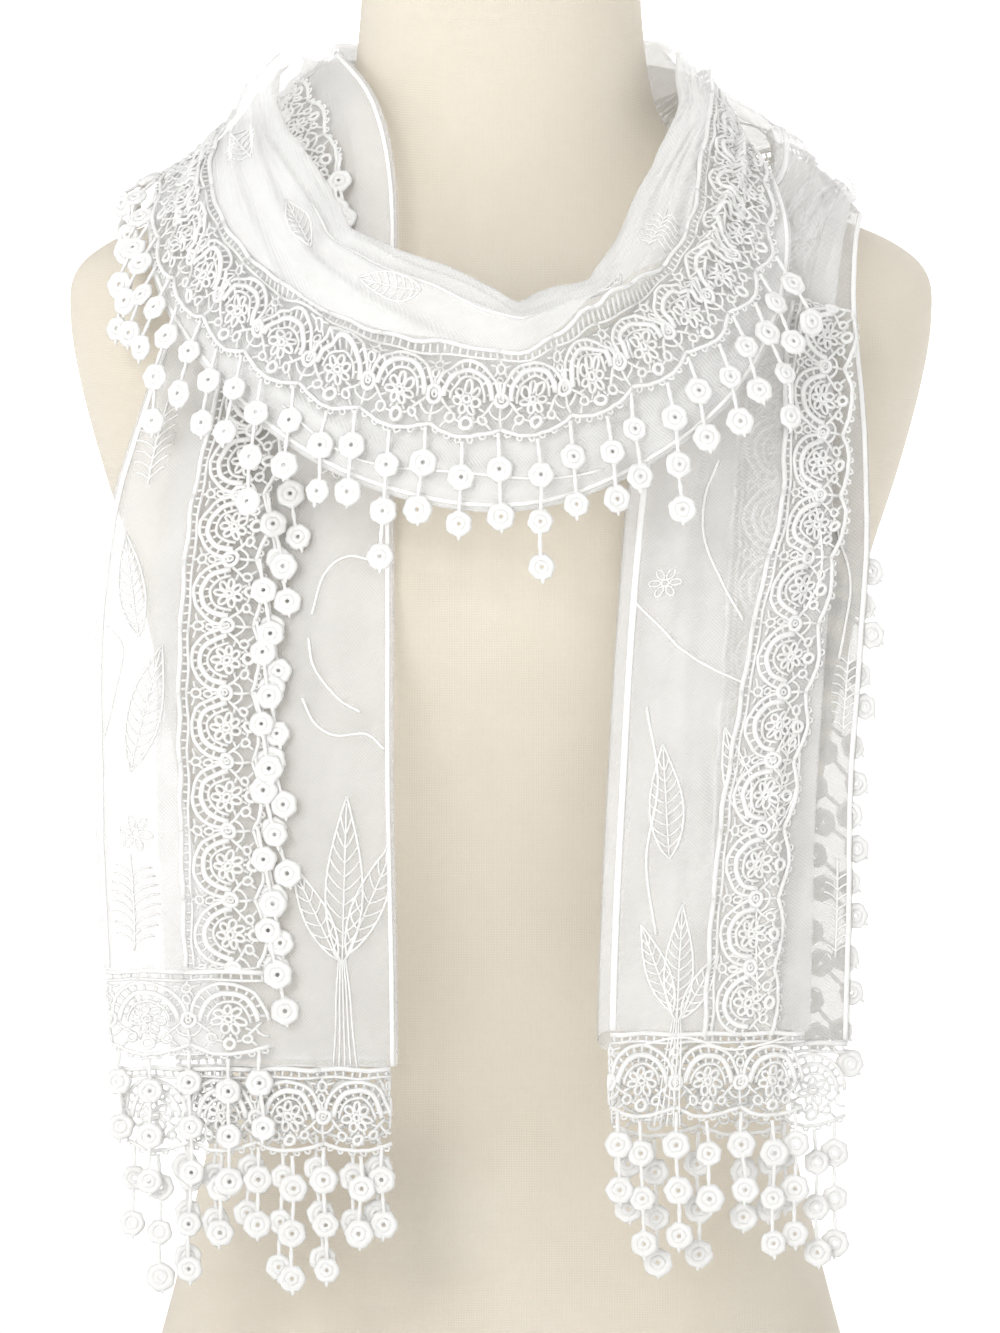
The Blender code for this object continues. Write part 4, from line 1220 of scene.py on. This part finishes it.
def make_embroidery(name):
    pile = Pile()
    for level, s, w, turn, lines in MOTIFS[name]:
        lay(pile, name, level, s, w, turn, lines)
    for level, route in CORDS[name]:
        cord_along(pile, name, level, route)
    return pile.build("embroidery_" + name, cord_thread, "lace")


# Rolled and doubled edges of the net: stretch, level, w, half width and half height in metres
HEMS = (
    ("left_tail", 1, 0.01, 0.001, 0.4),
    ("left_tail", 2, 0.985, 0.0012, 0.4),
    ("right_tail", 3, 0.022, 0.0015, 0.3),
    ("right_tail", 1, 0.98, 0.0012, 0.4),
    ("cowl", 1, 0.985, 0.0009, 0.5),
    ("nape_outer", 0, 0.955, 0.0009, 0.5),
)


def make_hem(name, level, w, radius, flat):
    """A flat rolled hem along one edge of a stretch."""
    run = next(run for run in FOLDS[name] if run[2] == level)
    start, end = stretch_ends(base, name, run[4])
    l = np.linspace(start, end, round((end - start) / HEM_STEP))
    across = np.full(len(l), w)
    pile = Pile()
    couched(pile, name, level, l, across, 0.0004, radius, sides=8, flat=flat)
    return pile.build("hem_%s_%d" % (name, level), cord_thread, "net")


# Light, floor and camera


def make_stage():
    """A round studio cove: a pale floor that turns up softly, far enough off to walk round in."""
    profile = [(0.001, 0.0), (1.0, 0.0), (2.2, 0.0), (3.4, 0.0), (4.4, 0.0)]
    for k in range(1, 9):
        a = math.radians(90 * k / 8)
        profile.append((4.4 + 0.8 * math.sin(a), 0.8 - 0.8 * math.cos(a)))
    profile.append((5.2, 1.9))
    around = 72
    turns = [math.tau * k / around for k in range(around)]
    points = [(r * math.cos(a), r * math.sin(a), z) for r, z in profile for a in turns]
    material, tree, shader, place = node_material("studio_paper", (0.88, 0.88, 0.87, 1), 0.9, 0.0)
    tree.links.new(
        mixed(tree, noise(tree, place, 3.0, 2.0), (0.87, 0.87, 0.865, 1), (0.9, 0.9, 0.895, 1)),
        shader.inputs["Base Color"],
    )
    far = add_node(tree, "VectorMath", "Value", {0: place}, operation="LENGTH")
    reach = {"Value": far, "From Min": 0.5, "From Max": 2.2, "To Min": 0.1, "To Max": 0.85}
    shader.inputs["Emission Color"].default_value = (1, 1, 1, 1)
    material.cycles.emission_sampling = "NONE"
    tree.links.new(add_node(tree, "MapRange", "Result", reach), shader.inputs["Emission Strength"])
    faces = grid_faces(len(profile), around, wrap_columns=True)[:, ::-1].tolist()
    floor = mesh_object("studio_floor", points, faces, material)


def area_light(name, place, size, power):
    """A soft lamp turned to the middle of the part, which the camera doesn't see."""
    light = bpy.data.lights.new(name, "AREA")
    light.shape = "RECTANGLE"
    light.size, light.size_y = size
    light.energy = power
    lamp = linked(name, light)
    lamp.location = place
    lamp.rotation_euler = (Vector((0, 0, 0.4)) - Vector(place)).to_track_quat("-Z", "Y").to_euler()
    lamp.visible_camera = False


def make_lights():
    area_light("key", (-1.4, -2.5, 1.7), (1.4, 1.4), 36)
    area_light("top", (0.1, -0.2, 2.4), (1.6, 1.2), 12)
    area_light("back", (1.2, 2.4, 1.8), (1.6, 1.6), 26)
    world = bpy.data.worlds.new("studio_air")
    bpy.context.scene.world = world
    world.use_nodes = True
    world.node_tree.nodes["Background"].inputs["Color"].default_value = (1, 1, 1, 1)
    world.node_tree.nodes["Background"].inputs["Strength"].default_value = 0.22


# The photo's height in pixels, and what one of them measures at the chest, in metres
PHOTO_ROWS = 1333
PIXEL = 0.00045


def make_camera():
    """Level, straight in front, from far off."""
    camera = bpy.data.cameras.new("camera")
    camera.sensor_fit = "VERTICAL"
    camera.sensor_height = 24.0
    distance = 3.2
    camera.lens = camera.sensor_height * distance / (PHOTO_ROWS * PIXEL)
    view = linked("camera", camera)
    view.location = (-0.0005, -0.09 - distance, 0.39)
    view.rotation_euler = (math.radians(90), 0, 0)
    bpy.context.scene.camera = view


base = make_base(BVHTree.FromPolygons(*form_shape(4 * FORM_LEVELS, 2 * FORM_ROUND)))

SEED = 7
chance = np.random.default_rng(SEED)
linen = make_linen()
net = make_net("sheer_net", 0.46, (0.8, 0.795, 0.785, 1), (0.9, 0.895, 0.885, 1))
gathered_net = make_net("gathered_net", 0.64, (0.84, 0.838, 0.828, 1), (0.955, 0.953, 0.943, 1))
# The right tail's net: denser where it lies folded in layers, and brighter than the rest: painted light
# where the key falls off on that side
layered_net_painted_light = make_net("layered_net_painted_light", 0.58, (0.82, 0.81, 0.8, 1), (0.93, 0.92, 0.91, 1))
# A darker, denser copy of the net: painted shade for the right tail's folded-under strip, with the real
# density of doubled net
painted_shade_net = make_net("painted_shade_net", 0.78, (0.58, 0.565, 0.54, 1), (0.68, 0.665, 0.64, 1))
# The left tail's net, darker than the rest: painted shade that tones down the key light on that side
left_net_painted_shade = make_net("left_net_painted_shade", 0.5, (0.77, 0.76, 0.75, 1), (0.88, 0.87, 0.86, 1))
NETS = {"left_tail": left_net_painted_shade, "cowl": gathered_net, "right_tail": layered_net_painted_light}
lace_thread = make_thread("lace_thread", (0.84, 0.835, 0.82, 1), (0.965, 0.96, 0.945, 1))
cord_thread = make_thread("embroidery_cord", (0.94, 0.935, 0.92, 1), (0.99, 0.985, 0.97, 1))

make_camera()
make_lights()
make_stage()
make_form()

nets = {name: make_net_piece(name, NETS.get(name, net)) for name in ROUTE}
trims = {name: [] for name in ROUTE}
for name in ROUTE:
    nets[name].visible_shadow = False
    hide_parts(name)
    if name in MOTIFS:
        trims[name].append(make_embroidery(name))
for hem in HEMS:
    trims[hem[0]].append(make_hem(*hem))
for row in EDGE_LACES:
    trims[row[1]].extend(edge_piece(*row))
for row in END_LACES + REAR_LACES:
    trims[row[1]].extend(end_piece(*row))

trims["right_tail"].append(fold_piece("right_fold", "right_tail", 3, FOLD_LACE, 11))

scene = bpy.context.scene
scene.view_settings.view_transform = "Standard"
scene.cycles.transparent_max_bounces = 24
